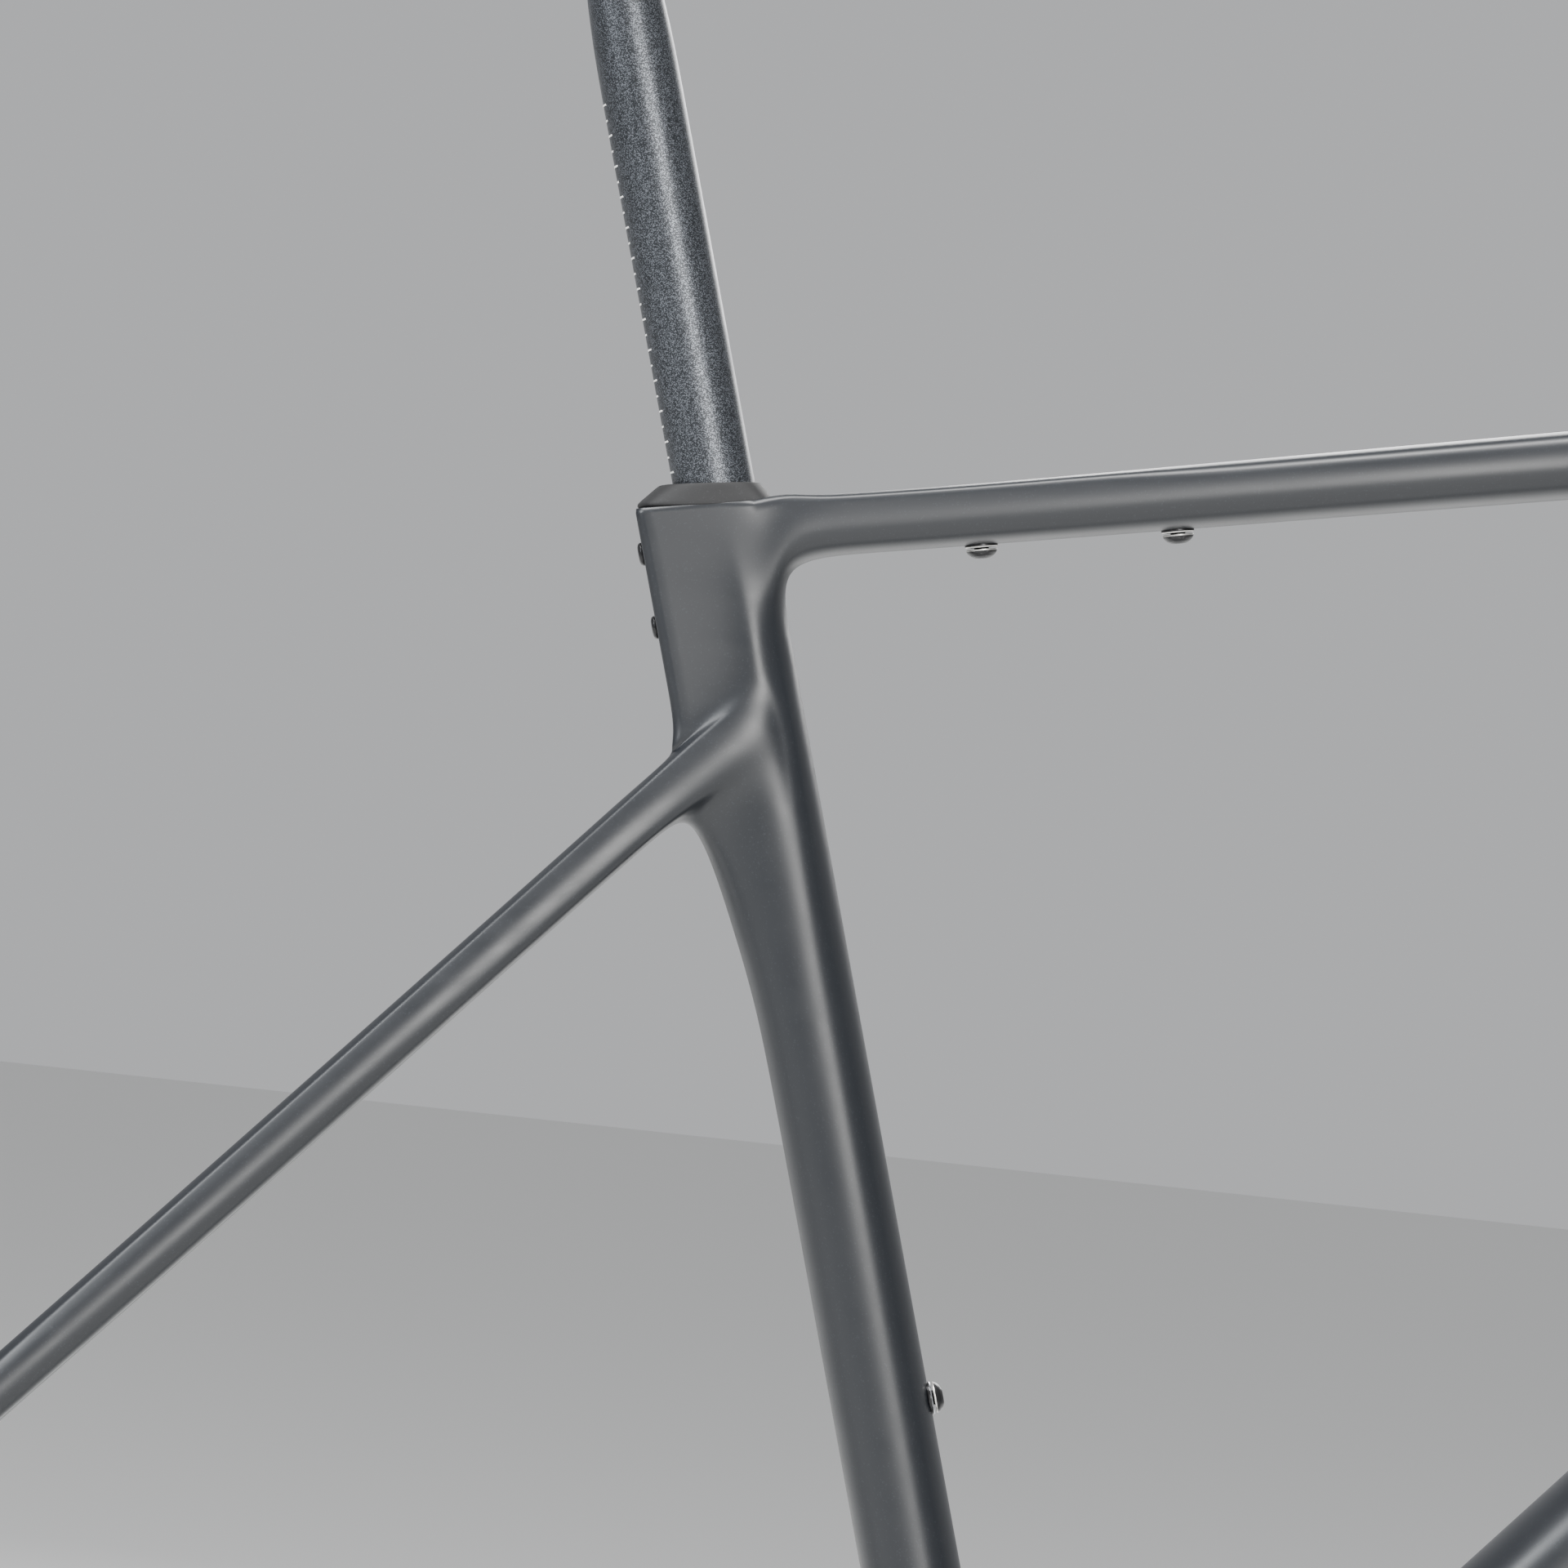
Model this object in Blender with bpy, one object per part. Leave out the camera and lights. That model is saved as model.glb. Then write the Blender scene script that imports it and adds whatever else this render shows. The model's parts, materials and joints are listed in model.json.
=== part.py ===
"""Carbon road bicycle frame with its seatpost, headset, bottom bracket cups and rear axle.

Metres, +Z up, +X forward, +Y to the rider's left. The origin is the centre of the bottom
bracket shell. Every tube is a lofted wall, mitred against its neighbours with a small gap.
"""

import math
from collections import namedtuple

import bmesh
import bpy
from mathutils import Matrix, Vector

# ---------------------------------------------------------------- driving dimensions
MM = 0.001
GAP = 0.3 * MM                      # clearance between neighbouring pieces

SEAT_ANGLE = math.radians(73.5)
HEAD_ANGLE = math.radians(72.0)
REAR_AXLE = Vector((-423.4, 0.0, 75.0)) * MM     # 430 mm chainstays, 75 mm drop
HEAD_TOP = Vector((385.0, 0.0, 602.0)) * MM      # reach and stack
HEAD_LENGTH = 195.0 * MM

SHELL_HALF_WIDTH = 34.0 * MM        # 68 mm threaded shell
SHELL_RADIUS = 25.0 * MM
SHELL_BORE = 17.6 * MM

TUBE_WALL = 1.8 * MM
STAY_WALL = 1.5 * MM
TUBE_SIDES = 16
STAY_SIDES = 12

CLUSTER_SPLIT = 404.0 * MM          # where the deep upper seat tube begins, along the seat axis
CLUSTER_TOP = 509.0 * MM            # centre of the sloping top face, along the seat axis
CLUSTER_TOP_SLOPE = -0.127          # the top face drops this much per metre forward, along the axis
CLUSTER_FRONT = 15.4 * MM
CLUSTER_REAR = -26.3 * MM
CLUSTER_CUT_ABOVE = 20.0 * MM       # how far the cluster's cutter runs past the top face
SHARP_ANGLE = math.radians(35.0)    # faces that meet at more than this are shaded apart

POST_BOTTOM = 347.0 * MM
POST_CLAMP = 702.0 * MM             # saddle clamp centre along the seat axis
POST_HALF_DEPTH = 13.1 * MM
POST_HALF_WIDTH = 13.6 * MM
POST_WALL = 2.2 * MM
POST_FRONT_POWER = 2.0              # round in front, squarer behind
POST_REAR_POWER = 3.0
POST_HEAD_LOW = (36.0 * MM, 20.0 * MM, 6.0 * MM)   # the narrowing head, below the clamp centre
POST_HEAD_PINCH = 1.9 * MM
POST_HOLLOW_END = 44.0 * MM         # the bore stops this far below the clamp centre

DROPOUT_INNER = 71.0 * MM           # 142 mm between the dropouts
DROPOUT_THICKNESS = 8.0 * MM
AXLE_BORE = 6.3 * MM
HANGER_THICKNESS = 5.0 * MM

RAIL_HEIGHT = 11.5 * MM             # saddle rails above the clamp centre
RAIL_HALF_SPACING = 22.0 * MM
RAIL_BORE = 3.6 * MM
CLAMP_BOLT_BORE = 4.4 * MM
CLAMP_TRIM_HEIGHT = 14.0 * MM       # the clamp discs are cut flat above this

SEAT_AXIS = Vector((-math.cos(SEAT_ANGLE), 0.0, math.sin(SEAT_ANGLE)))
SEAT_FORWARD = Vector((math.sin(SEAT_ANGLE), 0.0, math.cos(SEAT_ANGLE)))
HEAD_AXIS = Vector((-math.cos(HEAD_ANGLE), 0.0, math.sin(HEAD_ANGLE)))
HEAD_BOTTOM = HEAD_TOP - HEAD_AXIS * HEAD_LENGTH
UP = Vector((0.0, 0.0, 1.0))
LEFT = Vector((0.0, 1.0, 0.0))
FORWARD = Vector((1.0, 0.0, 0.0))

# A tube section: centre, half sizes towards and away from the reference direction, half
# width across it, how square its far and near halves are, how far its plane leans, and the
# direction it faces (None takes the route's own direction).
Station = namedtuple("Station", "centre ahead behind side power rear_power lean facing")


def station(centre, ahead, behind, side, power=2.4, rear_power=None, lean=0.0, facing=None):
    """A tube section in millimetres."""
    return Station(Vector(centre) * MM, ahead * MM, behind * MM, side * MM,
                   power, rear_power or power, lean, facing)


def seat_station(along, front, rear, side, power=2.6, rear_power=None, lean=0.0):
    """A section square to the seat axis, by its distance along it, all in millimetres."""
    middle = (front + rear) / 2.0
    centre = (SEAT_AXIS * along + SEAT_FORWARD * middle)
    return station(centre, front - middle, middle - rear, side, power, rear_power, lean, SEAT_AXIS)


# ---------------------------------------------------------------- tube routes (millimetres)
SEAT_TUBE = [
    seat_station(10, 17.0, -17.5, 30.0),
    seat_station(50, 16.0, -17.0, 26.0),
    seat_station(95, 15.4, -16.6, 20.0),
    seat_station(150, 15.4, -16.4, 17.0),
    seat_station(240, 15.4, -16.4, 16.0),
    seat_station(330, 15.4, -16.4, 16.0),
    seat_station(346, 15.4, -16.9, 16.1),
    seat_station(368, 15.4, -19.0, 16.3),
    seat_station(388, 15.4, -21.8, 16.5),
    seat_station(CLUSTER_SPLIT / MM, 15.4, -24.0, 16.7),
]
SEAT_CLUSTER = [
    seat_station(CLUSTER_SPLIT / MM + 0.3, 15.4, -24.0, 16.7, 2.8, 3.6),
    seat_station(418, 15.4, -26.0, 16.8, 2.8, 5.0),
    seat_station(440, 15.4, -26.3, 16.8, 2.8, 7.0),
    seat_station(CLUSTER_TOP / MM, 15.4, -26.3, 16.8, 2.8, 7.0, CLUSTER_TOP_SLOPE),
]
TOP_TUBE = [
    station((-150, 0, 476.5), 9.6, 9.6, 15.8), station((-77, 0, 491.1), 9.7, 9.7, 16.5),
    station((0, 0, 505.8), 10.2, 10.2, 17.5), station((125, 0, 529.9), 10.9, 10.9, 19.0),
    station((250, 0, 553.6), 12.0, 12.0, 20.5), station((340, 0, 570.8), 13.4, 13.4, 22.0),
    station((398, 0, 582.0), 15.0, 15.0, 23.0),
]
DOWN_TUBE = [
    station((4, 0, -2), 23, 21, 31), station((60, 0, 57.4), 23, 22, 30),
    station((130, 0, 131.6), 23, 23, 26.5), station((250, 0, 258.9), 24, 24, 25.5),
    station((350, 0, 365.0), 25.5, 25.5, 24.5), station((398, 0, 415.9), 28, 28, 24),
    station((430, 0, 449.8), 30, 30, 23.5),
]
HEAD_SECTIONS = [(0.0, 29.5, 29.5), (18.0, 29.0, 29.0), (55.0, 28.0, 25.5), (120.0, 27.0, 24.5),
                 (172.0, 26.5, 25.0), (195.0, 26.0, 25.5)]
CHAINSTAY = [
    station((-6, 17.5, 2), 19, 19, 11.5), station((-42, 27, 8), 18, 17, 10.3),
    station((-78, 33.5, 14), 16.5, 15.5, 9.8), station((-115, 37, 20.5), 14.5, 14, 9.6),
    station((-200, 47.5, 35.5), 12.5, 12.5, 9.3), station((-300, 61, 52.5), 11.2, 11.2, 8.5),
    station((-360, 70, 62.7), 10.6, 10.6, 7.6), station((-391, 75, 68), 10.4, 10.4, 6.2),
]
SEATSTAY = [
    station((-125, 9.0, 423), 8.0, 8.0, 6.5), station((-145.7, 13.0, 399.7), 7.9, 7.9, 6.4),
    station((-167.8, 19.0, 375.3), 7.9, 7.9, 6.2), station((-196, 26.5, 344.1), 7.9, 7.9, 6.2),
    station((-232, 33.5, 304.3), 8.0, 8.0, 6.4), station((-286, 44.0, 244.6), 8.2, 8.2, 6.6),
    station((-350, 58.0, 174.8), 8.1, 8.1, 6.8), station((-395, 70.0, 125.8), 7.8, 7.8, 6.6),
    station((-411.5, 74.8, 108.0), 8.0, 8.0, 5.6),
]
COVER_LAYERS = [(0.3, 18.6, -25.6, 16.2), (2.4, 17.6, -24.6, 16.0), (7.6, 14.6, -17.6, 15.0)]
DROPOUT_OUTLINE = [(31.6, -17.5), (5, -18), (-11, -13.5), (-17, -2), (-14, 14), (3.9, 38.5),
                   (16, 27), (20, 13), (31.6, 3.6)]
HANGER_OUTLINE = [(11, -9), (-1, -29), (-8, -37), (-17, -36), (-19, -27), (-15, -8), (-13, 8),
                  (0, 14), (12, 8)]
HANGER_THREAD = (-10.5, -28.5)      # derailleur thread, from the axle
HANGER_SCREW = (-2.0, 10.2)         # the screw that holds the hanger, from the axle

# ---------------------------------------------------------------- turned profiles
# Pairs of (radius, height) in millimetres, in order round the section.
HEAD_BORE = [(26.3, -1.0), (26.3, 8.4), (22.5, 8.4), (21.5, 25.0), (21.5, 175.0), (18.5, 186.8),
             (21.2, 186.8), (21.2, 196.0)]
BOSS = [(2.75, -9.0), (3.5, -9.0), (3.5, 0.3), (6.0, 0.3), (5.7, 1.3), (2.75, 1.3)]
BUTTON_BOLT = [(2.45, -8.0), (2.45, 1.6), (5.0, 1.6), (4.9, 2.4), (3.9, 3.7), (2.4, 4.4),
               (1.6, 4.4), (1.6, 2.2)]
CLAMP_BOLT = [(2.0, -8.6), (2.0, 0.2), (3.7, 0.2), (3.5, 1.4), (1.3, 1.7), (1.3, 0.4)]
SADDLE_BOLT = [(3.0, -4.0), (3.0, -3.9), (4.0, -3.9), (4.0, 60.6), (6.5, 60.6), (6.5, 66.4),
               (5.6, 67.2), (2.9, 67.2), (2.9, 63.0)]
SADDLE_NUT = [(7.5, 30.3), (7.5, 36.5)]
SADDLE_BOLT_START = 30.3
SADDLE_DISCS = [("saddle_cradle_", 12.4, 21.4), ("saddle_clamp_", 22.6, 30.0)]
SADDLE_DISC_RADIUS, SADDLE_DISC_EDGE = 17.0, 1.5
POST_BARREL = [(14.2, -12.0), (14.2, 12.0)]
UPPER_OUTER_RACE = (18.7, 20.9, -7.6, -0.6)        # inner and outer radius, low, high
UPPER_INNER_RACE = (15.4, 18.4, -7.6, -0.3)
COMPRESSION_RING = (14.5, 17.5, 0.0, 2.6)
LOWER_OUTER_RACE = (23.4, 26.0, 0.4, 8.0)
LOWER_INNER_RACE = (20.0, 23.1, 0.2, 7.8)
HEADSET_COVER = [(14.5, 2.9), (18.2, 2.9), (18.2, 0.4), (25.0, 0.4), (24.4, 3.0), (18.0, 9.9),
                 (14.5, 9.9)]
BB_CUP = [(14.6, 22.0), (17.3, 22.0), (17.3, 34.3), (21.0, 34.3), (22.0, 35.4), (22.0, 43.4),
          (21.0, 44.4), (16.2, 44.4), (16.2, 36.4), (14.6, 36.4)]
BB_INNER_RACE = (12.1, 15.9, 36.8, 44.0)
BB_SLEEVE = (15.6, 16.8, -21.6, 21.6)
HANGER_BOLT = [(1.6, -6.0), (1.6, 5.3), (3.0, 5.3), (2.6, 6.8)]
THRU_AXLE = [(5.0, -84.0), (6.0, -83.0), (6.0, 79.3), (9.0, 79.3), (9.0, 83.0), (8.0, 84.0),
             (3.0, 84.0), (3.0, 77.0)]
BRAKE_PAD = [(6.4, 3.0), (6.4, 12.6)]
BRAKE_BOLT = [(2.5, 12.0), (2.5, -12.4), (4.2, -12.4), (4.2, -15.6), (1.6, -15.9), (1.6, -13.4)]
BRAKE_STEPS = (("front", -6.0), ("rear", 28.0))    # millimetres behind a chainstay section
PORT_SCREW = [(1.5, -6.4), (1.5, 0.3), (3.0, 0.3), (2.6, 1.6)]
PORT_COVER = (16.0 * MM, 34.0 * MM, 2.6 * MM)
PORT_COVER_CORNER = 5.0 * MM
PORT_COVER_DROP = 3.0 * MM          # underside of the cover below the shell
TOP_TUBE_BOLTS = (("top_tube_#_rear", 1, 2, -60.7), ("top_tube_#_front", 2, 3, 1.6))
DOWN_TUBE_BOLTS = (("down_tube_#_lower", 2, 3, 142.0), ("down_tube_#_upper", 2, 3, 186.0))
SEAT_TUBE_BOLTS = (("seat_tube_#_lower", 150.0), ("seat_tube_#_upper", 214.0))
CLAMP_BOLTS = (("clamp_bolt_upper", 498.0), ("clamp_bolt_lower", 474.0))
CLAMP_BLOCKS = (("clamp_pad", -13.6, -17.4, 10.5, "plastic"),
                ("clamp_thread_plate", -19.6, -24.1, 11.0, "alloy"))
CLAMP_BLOCK_LOW, CLAMP_BLOCK_HIGH = 464.0, 505.0   # along the seat axis
PROTECTOR_RISE, PROTECTOR_WALL = 1.9 * MM, 1.5 * MM

COLOURS = {
    "carbon": ((0.018, 0.021, 0.026), 0.38, 0.0), "post": ((0.022, 0.024, 0.028), 0.35, 0.3),
    "rubber": ((0.020, 0.020, 0.021), 0.70, 0.0), "steel": ((0.45, 0.44, 0.42), 0.28, 1.0),
    "black_steel": ((0.030, 0.030, 0.032), 0.35, 1.0), "alloy": ((0.55, 0.56, 0.58), 0.32, 1.0),
    "black_alloy": ((0.020, 0.020, 0.022), 0.40, 0.8), "plastic": ((0.025, 0.025, 0.026), 0.55, 0.0),
}


# ---------------------------------------------------------------- mesh helpers
def clear_scene():
    """Remove what a new scene holds."""
    for thing in list(bpy.data.objects):
        bpy.data.objects.remove(thing, do_unlink=True)


def finish(bm, name, finish_name=None):
    """Turn a bmesh into a named object; without a finish it is a hidden cutter."""
    bmesh.ops.recalc_face_normals(bm, faces=bm.faces)
    if bm.calc_volume(signed=True) < 0.0:
        bmesh.ops.reverse_faces(bm, faces=bm.faces)
    mesh = bpy.data.meshes.new(name)
    bm.to_mesh(mesh)
    bm.free()
    mesh.shade_smooth()
    mesh.set_sharp_from_angle(angle=SHARP_ANGLE)
    thing = bpy.data.objects.new(name, mesh)
    bpy.context.collection.objects.link(thing)
    if finish_name is None:
        thing.hide_render = True
        thing.display_type = 'WIRE'
    else:
        mesh.materials.append(material(name, finish_name))
    return thing


def material(name, finish_name):
    """The piece's own Principled material."""
    colour, roughness, metallic = COLOURS[finish_name]
    made = bpy.data.materials.new(name)
    made.use_nodes = True
    shader = made.node_tree.nodes["Principled BSDF"]
    shader.inputs["Base Color"].default_value = (*colour, 1.0)
    shader.inputs["Roughness"].default_value = roughness
    shader.inputs["Metallic"].default_value = metallic
    return made


def frame_at(origin, direction, reference):
    """A matrix whose Z runs along direction and whose X leans towards reference."""
    along = Vector(direction).normalized()
    ahead = (reference - along * reference.dot(along)).normalized()
    side = along.cross(ahead)
    turn = Matrix((ahead, side, along)).transposed()
    return Matrix.Translation(origin) @ turn.to_4x4()


def add_ring(bm, segments, place, outline):
    """One ring of vertices; outline gives the local point for each unit direction."""
    turns = [math.tau * index / segments for index in range(segments)]
    return [bm.verts.new(place @ outline(math.cos(turn), math.sin(turn))) for turn in turns]


def skin(bm, lower, upper):
    """Quads between two rings of the same count."""
    for index in range(len(lower)):
        following = (index + 1) % len(lower)
        bm.faces.new((lower[index], lower[following], upper[following], upper[index]))


def superellipse(part, power):
    """A circle's coordinate pushed outwards, so the curve grows squarer with power."""
    return math.copysign(abs(part) ** (2.0 / power), part)


def loft(sections, segments, reference, grow=0.0, capped=False, mirror=False):
    """A bmesh skinned over tube sections, wider by grow, open or capped at its ends."""
    bm = bmesh.new()
    flip = Vector((1.0, -1.0 if mirror else 1.0, 1.0))
    centres = [s.centre * flip for s in sections]
    rings = []
    for index, section in enumerate(sections):
        before = centres[max(index - 1, 0)]
        after = centres[min(index + 1, len(centres) - 1)]
        place = frame_at(centres[index], section.facing or after - before, reference)

        def outline(x, y, section=section):
            reach = section.ahead if x > 0.0 else section.behind
            power = section.power if x > 0.0 else section.rear_power
            local_x = superellipse(x, power) * (reach + grow)
            local_y = superellipse(y, power) * (section.side + grow)
            return Vector((local_x, local_y, local_x * section.lean))

        rings.append(add_ring(bm, segments, place, outline))
    for lower, upper in zip(rings, rings[1:]):
        skin(bm, lower, upper)
    if capped:
        bm.faces.new(rings[0])
        bm.faces.new(rings[-1])
    return bm


def turned(profile, origin, direction, segments=16, bored=False):
    """A bmesh turned from (radius, height) pairs in millimetres; a bored one is a closed ring."""
    bm = bmesh.new()
    place = frame_at(origin, direction, LEFT if abs(Vector(direction).y) < 0.9 else UP)
    rings = []
    for radius, height in profile:
        rings.append(add_ring(bm, segments, place,
                              lambda x, y, r=radius * MM, h=height * MM: Vector((x * r, y * r, h))))
    for lower, upper in zip(rings, rings[1:]):
        skin(bm, lower, upper)
    if bored:
        skin(bm, rings[-1], rings[0])
    else:
        bm.faces.new(rings[0])
        bm.faces.new(rings[-1])
    return bm


def ring_profile(inner, outer, low, high):
    """The square profile of a plain ring."""
    return [(inner, low), (outer, low), (outer, high), (inner, high)]


def plate(outline, centre, low, high, corner=3.0 * MM):
    """A bmesh plate standing across Y, from an (x, z) outline in millimetres about centre."""
    bm = bmesh.new()
    corners = [bm.verts.new((centre.x + x * MM, low, centre.z + z * MM)) for x, z in outline]
    bm.faces.new(corners)
    bmesh.ops.bevel(bm, geom=corners, offset=corner, segments=3, profile=0.5,
                    affect='VERTICES', material=-1)
    moved = bmesh.ops.extrude_face_region(bm, geom=bm.faces[:])["geom"]
    raised = [item for item in moved if isinstance(item, bmesh.types.BMVert)]
    bmesh.ops.translate(bm, verts=raised, vec=LEFT * (high - low))
    return bm


def boolean(thing, cutter, operation='DIFFERENCE'):
    """Cut, join or keep the common part of a piece and a hidden cutter."""
    step = thing.modifiers.new("shape", 'BOOLEAN')
    step.operation = operation
    step.object = cutter


def wall(thing, thickness):
    """Give a lofted skin its wall, inwards."""
    step = thing.modifiers.new("wall", 'SOLIDIFY')
    step.thickness = thickness
    step.offset = -1.0


def bore(thing, name, radius, origin, direction, reach, segments=12):
    """Drill a round hole centred on origin."""
    profile = [(radius / MM, -reach / MM), (radius / MM, reach / MM)]
    boolean(thing, finish(turned(profile, origin, direction, segments), name + "_cutter"))


# ---------------------------------------------------------------- the frame's tubes
def head_stations(sections):
    """Head tube sections from (height, half depth, half width)."""
    made = []
    for height, depth, side in sections:
        centre = (HEAD_BOTTOM + HEAD_AXIS * (height * MM)) / MM
        made.append(station(centre, depth, depth, side, 2.1))
    return made


def make_cutters():
    """Filled, slightly larger copies of the tubes, which mitre their neighbours."""
    above = [seat_station((CLUSTER_TOP + CLUSTER_CUT_ABOVE) / MM, 15.4, -26.3, 16.8, 2.8, 7.0)]
    reach = SHELL_HALF_WIDTH + GAP
    shell = [((SHELL_RADIUS + GAP) / MM, -reach / MM), ((SHELL_RADIUS + GAP) / MM, reach / MM)]
    return {
        "cluster": finish(loft(SEAT_CLUSTER[:-1] + above, TUBE_SIDES, SEAT_FORWARD, GAP, True),
                          "cluster_cutter"),
        "seat": finish(loft(SEAT_TUBE, TUBE_SIDES, SEAT_FORWARD, GAP, True), "seat_cutter"),
        "down": finish(loft(DOWN_TUBE, TUBE_SIDES, UP, GAP, True), "down_cutter"),
        "head": finish(loft(head_stations(HEAD_SECTIONS), TUBE_SIDES, FORWARD, GAP, True),
                       "head_cutter"),
        "shell": finish(turned(shell, Vector(), LEFT, 32), "shell_cutter"),
        "cover": finish(loft(cover_sections(), 32, SEAT_FORWARD, GAP, True), "cover_cutter"),
    }


def make_main_tubes(cutters):
    """Head, top, down and seat tubes, and the deep seat cluster."""
    head = finish(loft(head_stations(HEAD_SECTIONS), TUBE_SIDES, FORWARD, 0.0, True),
                  "head_tube", "carbon")
    boolean(head, finish(turned(HEAD_BORE, HEAD_BOTTOM, HEAD_AXIS, 32), "head_bore_cutter"))

    top = finish(loft(TOP_TUBE, TUBE_SIDES, UP), "top_tube", "carbon")
    wall(top, TUBE_WALL)
    boolean(top, cutters["cluster"])
    boolean(top, cutters["head"])
    boolean(top, cutters["cover"])

    down = finish(loft(DOWN_TUBE, TUBE_SIDES, UP), "down_tube", "carbon")
    wall(down, TUBE_WALL)
    boolean(down, cutters["head"])
    boolean(down, cutters["shell"])
    boolean(down, cutters["seat"])

    seat = finish(loft(SEAT_TUBE, TUBE_SIDES, SEAT_FORWARD), "seat_tube", "carbon")
    wall(seat, TUBE_WALL)
    boolean(seat, cutters["shell"])

    cluster = finish(loft(SEAT_CLUSTER, TUBE_SIDES, SEAT_FORWARD), "seat_cluster", "carbon")
    wall(cluster, TUBE_WALL)
    return {"head": head, "top": top, "down": down, "seat": seat, "cluster": cluster}


def make_shell():
    """The bottom bracket shell, bored for the cups."""
    half = SHELL_HALF_WIDTH / MM
    profile = ring_profile(SHELL_BORE / MM, SHELL_RADIUS / MM, -half, half)
    shell = finish(turned(profile, Vector(), LEFT, 32, bored=True), "bottom_bracket_shell", "carbon")
    bore(shell, "port_screw", 1.8 * MM, Vector((0.0, 0.0, -SHELL_RADIUS)), UP, 4 * MM, 12)
    return shell


def make_stays(cutters):
    """Chainstays, seatstays and dropouts; the chainstays and dropouts are returned by side."""
    made = {}
    for side, sign in (("left", 1.0), ("right", -1.0)):
        chain = finish(loft(CHAINSTAY, STAY_SIDES, UP, mirror=sign < 0), "chainstay_" + side, "carbon")
        wall(chain, STAY_WALL)
        for neighbour in ("shell", "seat", "down"):
            boolean(chain, cutters[neighbour])
        stay = finish(loft(SEATSTAY, STAY_SIDES, UP, mirror=sign < 0), "seatstay_" + side, "carbon")
        wall(stay, STAY_WALL)
        boolean(stay, cutters["cluster"])
        boolean(stay, cutters["seat"])
        inner, outer = sorted((sign * DROPOUT_INNER, sign * (DROPOUT_INNER + DROPOUT_THICKNESS)))
        dropout = finish(plate(DROPOUT_OUTLINE, REAR_AXLE, inner, outer), "dropout_" + side, "carbon")
        bore(dropout, "axle_" + side, AXLE_BORE, REAR_AXLE + LEFT * sign * 75 * MM, LEFT, 12 * MM, 20)
        for tube, name in ((chain, "chain"), (stay, "stay")):
            block = plate(DROPOUT_OUTLINE, REAR_AXLE, inner - GAP, outer + GAP)
            grown = finish(block, name + "_end_cutter_" + side)
            step = grown.modifiers.new("gap", 'DISPLACE')
            step.strength = GAP
            step.mid_level = 0.0
            boolean(tube, grown)
        made[side] = {"chain": chain, "dropout": dropout}
    return made


# ---------------------------------------------------------------- seatpost and its clamp
def post_sections(places, shrink=0.0, pinch=0.0):
    """Seatpost sections at distances along the seat axis; pinch narrows the last two."""
    depth = POST_HALF_DEPTH / MM - shrink
    made = []
    for index, along in enumerate(places):
        side = POST_HALF_WIDTH / MM - shrink - (pinch if index >= len(places) - 2 else 0.0)
        made.append(seat_station(along / MM, depth, -depth, side, POST_FRONT_POWER, POST_REAR_POWER))
    return made


def make_seatpost():
    """The post with its cross barrel, hollow from below."""
    places = [POST_BOTTOM] + [POST_CLAMP - below for below in POST_HEAD_LOW]
    sections = post_sections(places, 0.0, POST_HEAD_PINCH / MM)
    post = finish(loft(sections, 24, SEAT_FORWARD, 0.0, True), "seatpost", "post")
    hollow = post_sections((POST_BOTTOM - 5 * MM, POST_CLAMP - POST_HOLLOW_END), POST_WALL / MM)
    boolean(post, finish(loft(hollow, 24, SEAT_FORWARD, 0.0, True), "post_hollow_cutter"))
    centre = SEAT_AXIS * POST_CLAMP
    barrel = turned(POST_BARREL, centre, LEFT, 24)
    boolean(post, finish(barrel, "post_barrel_cutter"), 'UNION')
    bore(post, "post_bolt", CLAMP_BOLT_BORE, centre, LEFT, 20 * MM)


def make_saddle_clamp():
    """Two cradles and two outer clamps, grooved for the rails, on one cross bolt."""
    centre = SEAT_AXIS * POST_CLAMP
    radius, edge = SADDLE_DISC_RADIUS, SADDLE_DISC_EDGE
    for side, sign in (("left", 1.0), ("right", -1.0)):
        for name, low, high in SADDLE_DISCS:
            profile = [(radius - edge, low), (radius, low + edge), (radius, high - edge),
                       (radius - edge, high)]
            disc = finish(turned(profile, centre, LEFT * sign, 20), name + side, "black_alloy")
            bore(disc, name + side + "_bolt", CLAMP_BOLT_BORE, centre, LEFT, 40 * MM)
            groove_at = centre + UP * RAIL_HEIGHT + LEFT * sign * RAIL_HALF_SPACING
            bore(disc, name + side + "_rail", RAIL_BORE, groove_at, FORWARD, 30 * MM)
            trim = turned([(40.0, 0.0), (40.0, 30.0)], centre + UP * CLAMP_TRIM_HEIGHT, UP, 8)
            boolean(disc, finish(trim, name + side + "_top_cutter"))
    start = centre + LEFT * SADDLE_BOLT_START * MM
    finish(turned(SADDLE_BOLT, start, -LEFT), "saddle_clamp_bolt", "black_steel")
    nut = finish(turned(SADDLE_NUT, centre, LEFT, 6), "saddle_clamp_nut", "black_steel")
    bore(nut, "saddle_nut", CLAMP_BOLT_BORE, centre, LEFT, 40 * MM)


def cover_sections(grow=0.0):
    """The clamp cover's layers, upwards from the sloping top face."""
    made = []
    for height, front, rear, side in COVER_LAYERS:
        lean = CLUSTER_TOP_SLOPE
        middle = (front + rear) / 2.0
        along = CLUSTER_TOP / MM + height + (middle + 5.45) * lean
        made.append(seat_station(along, front, rear, side, 2.2, 4.0, lean))
    return made


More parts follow.
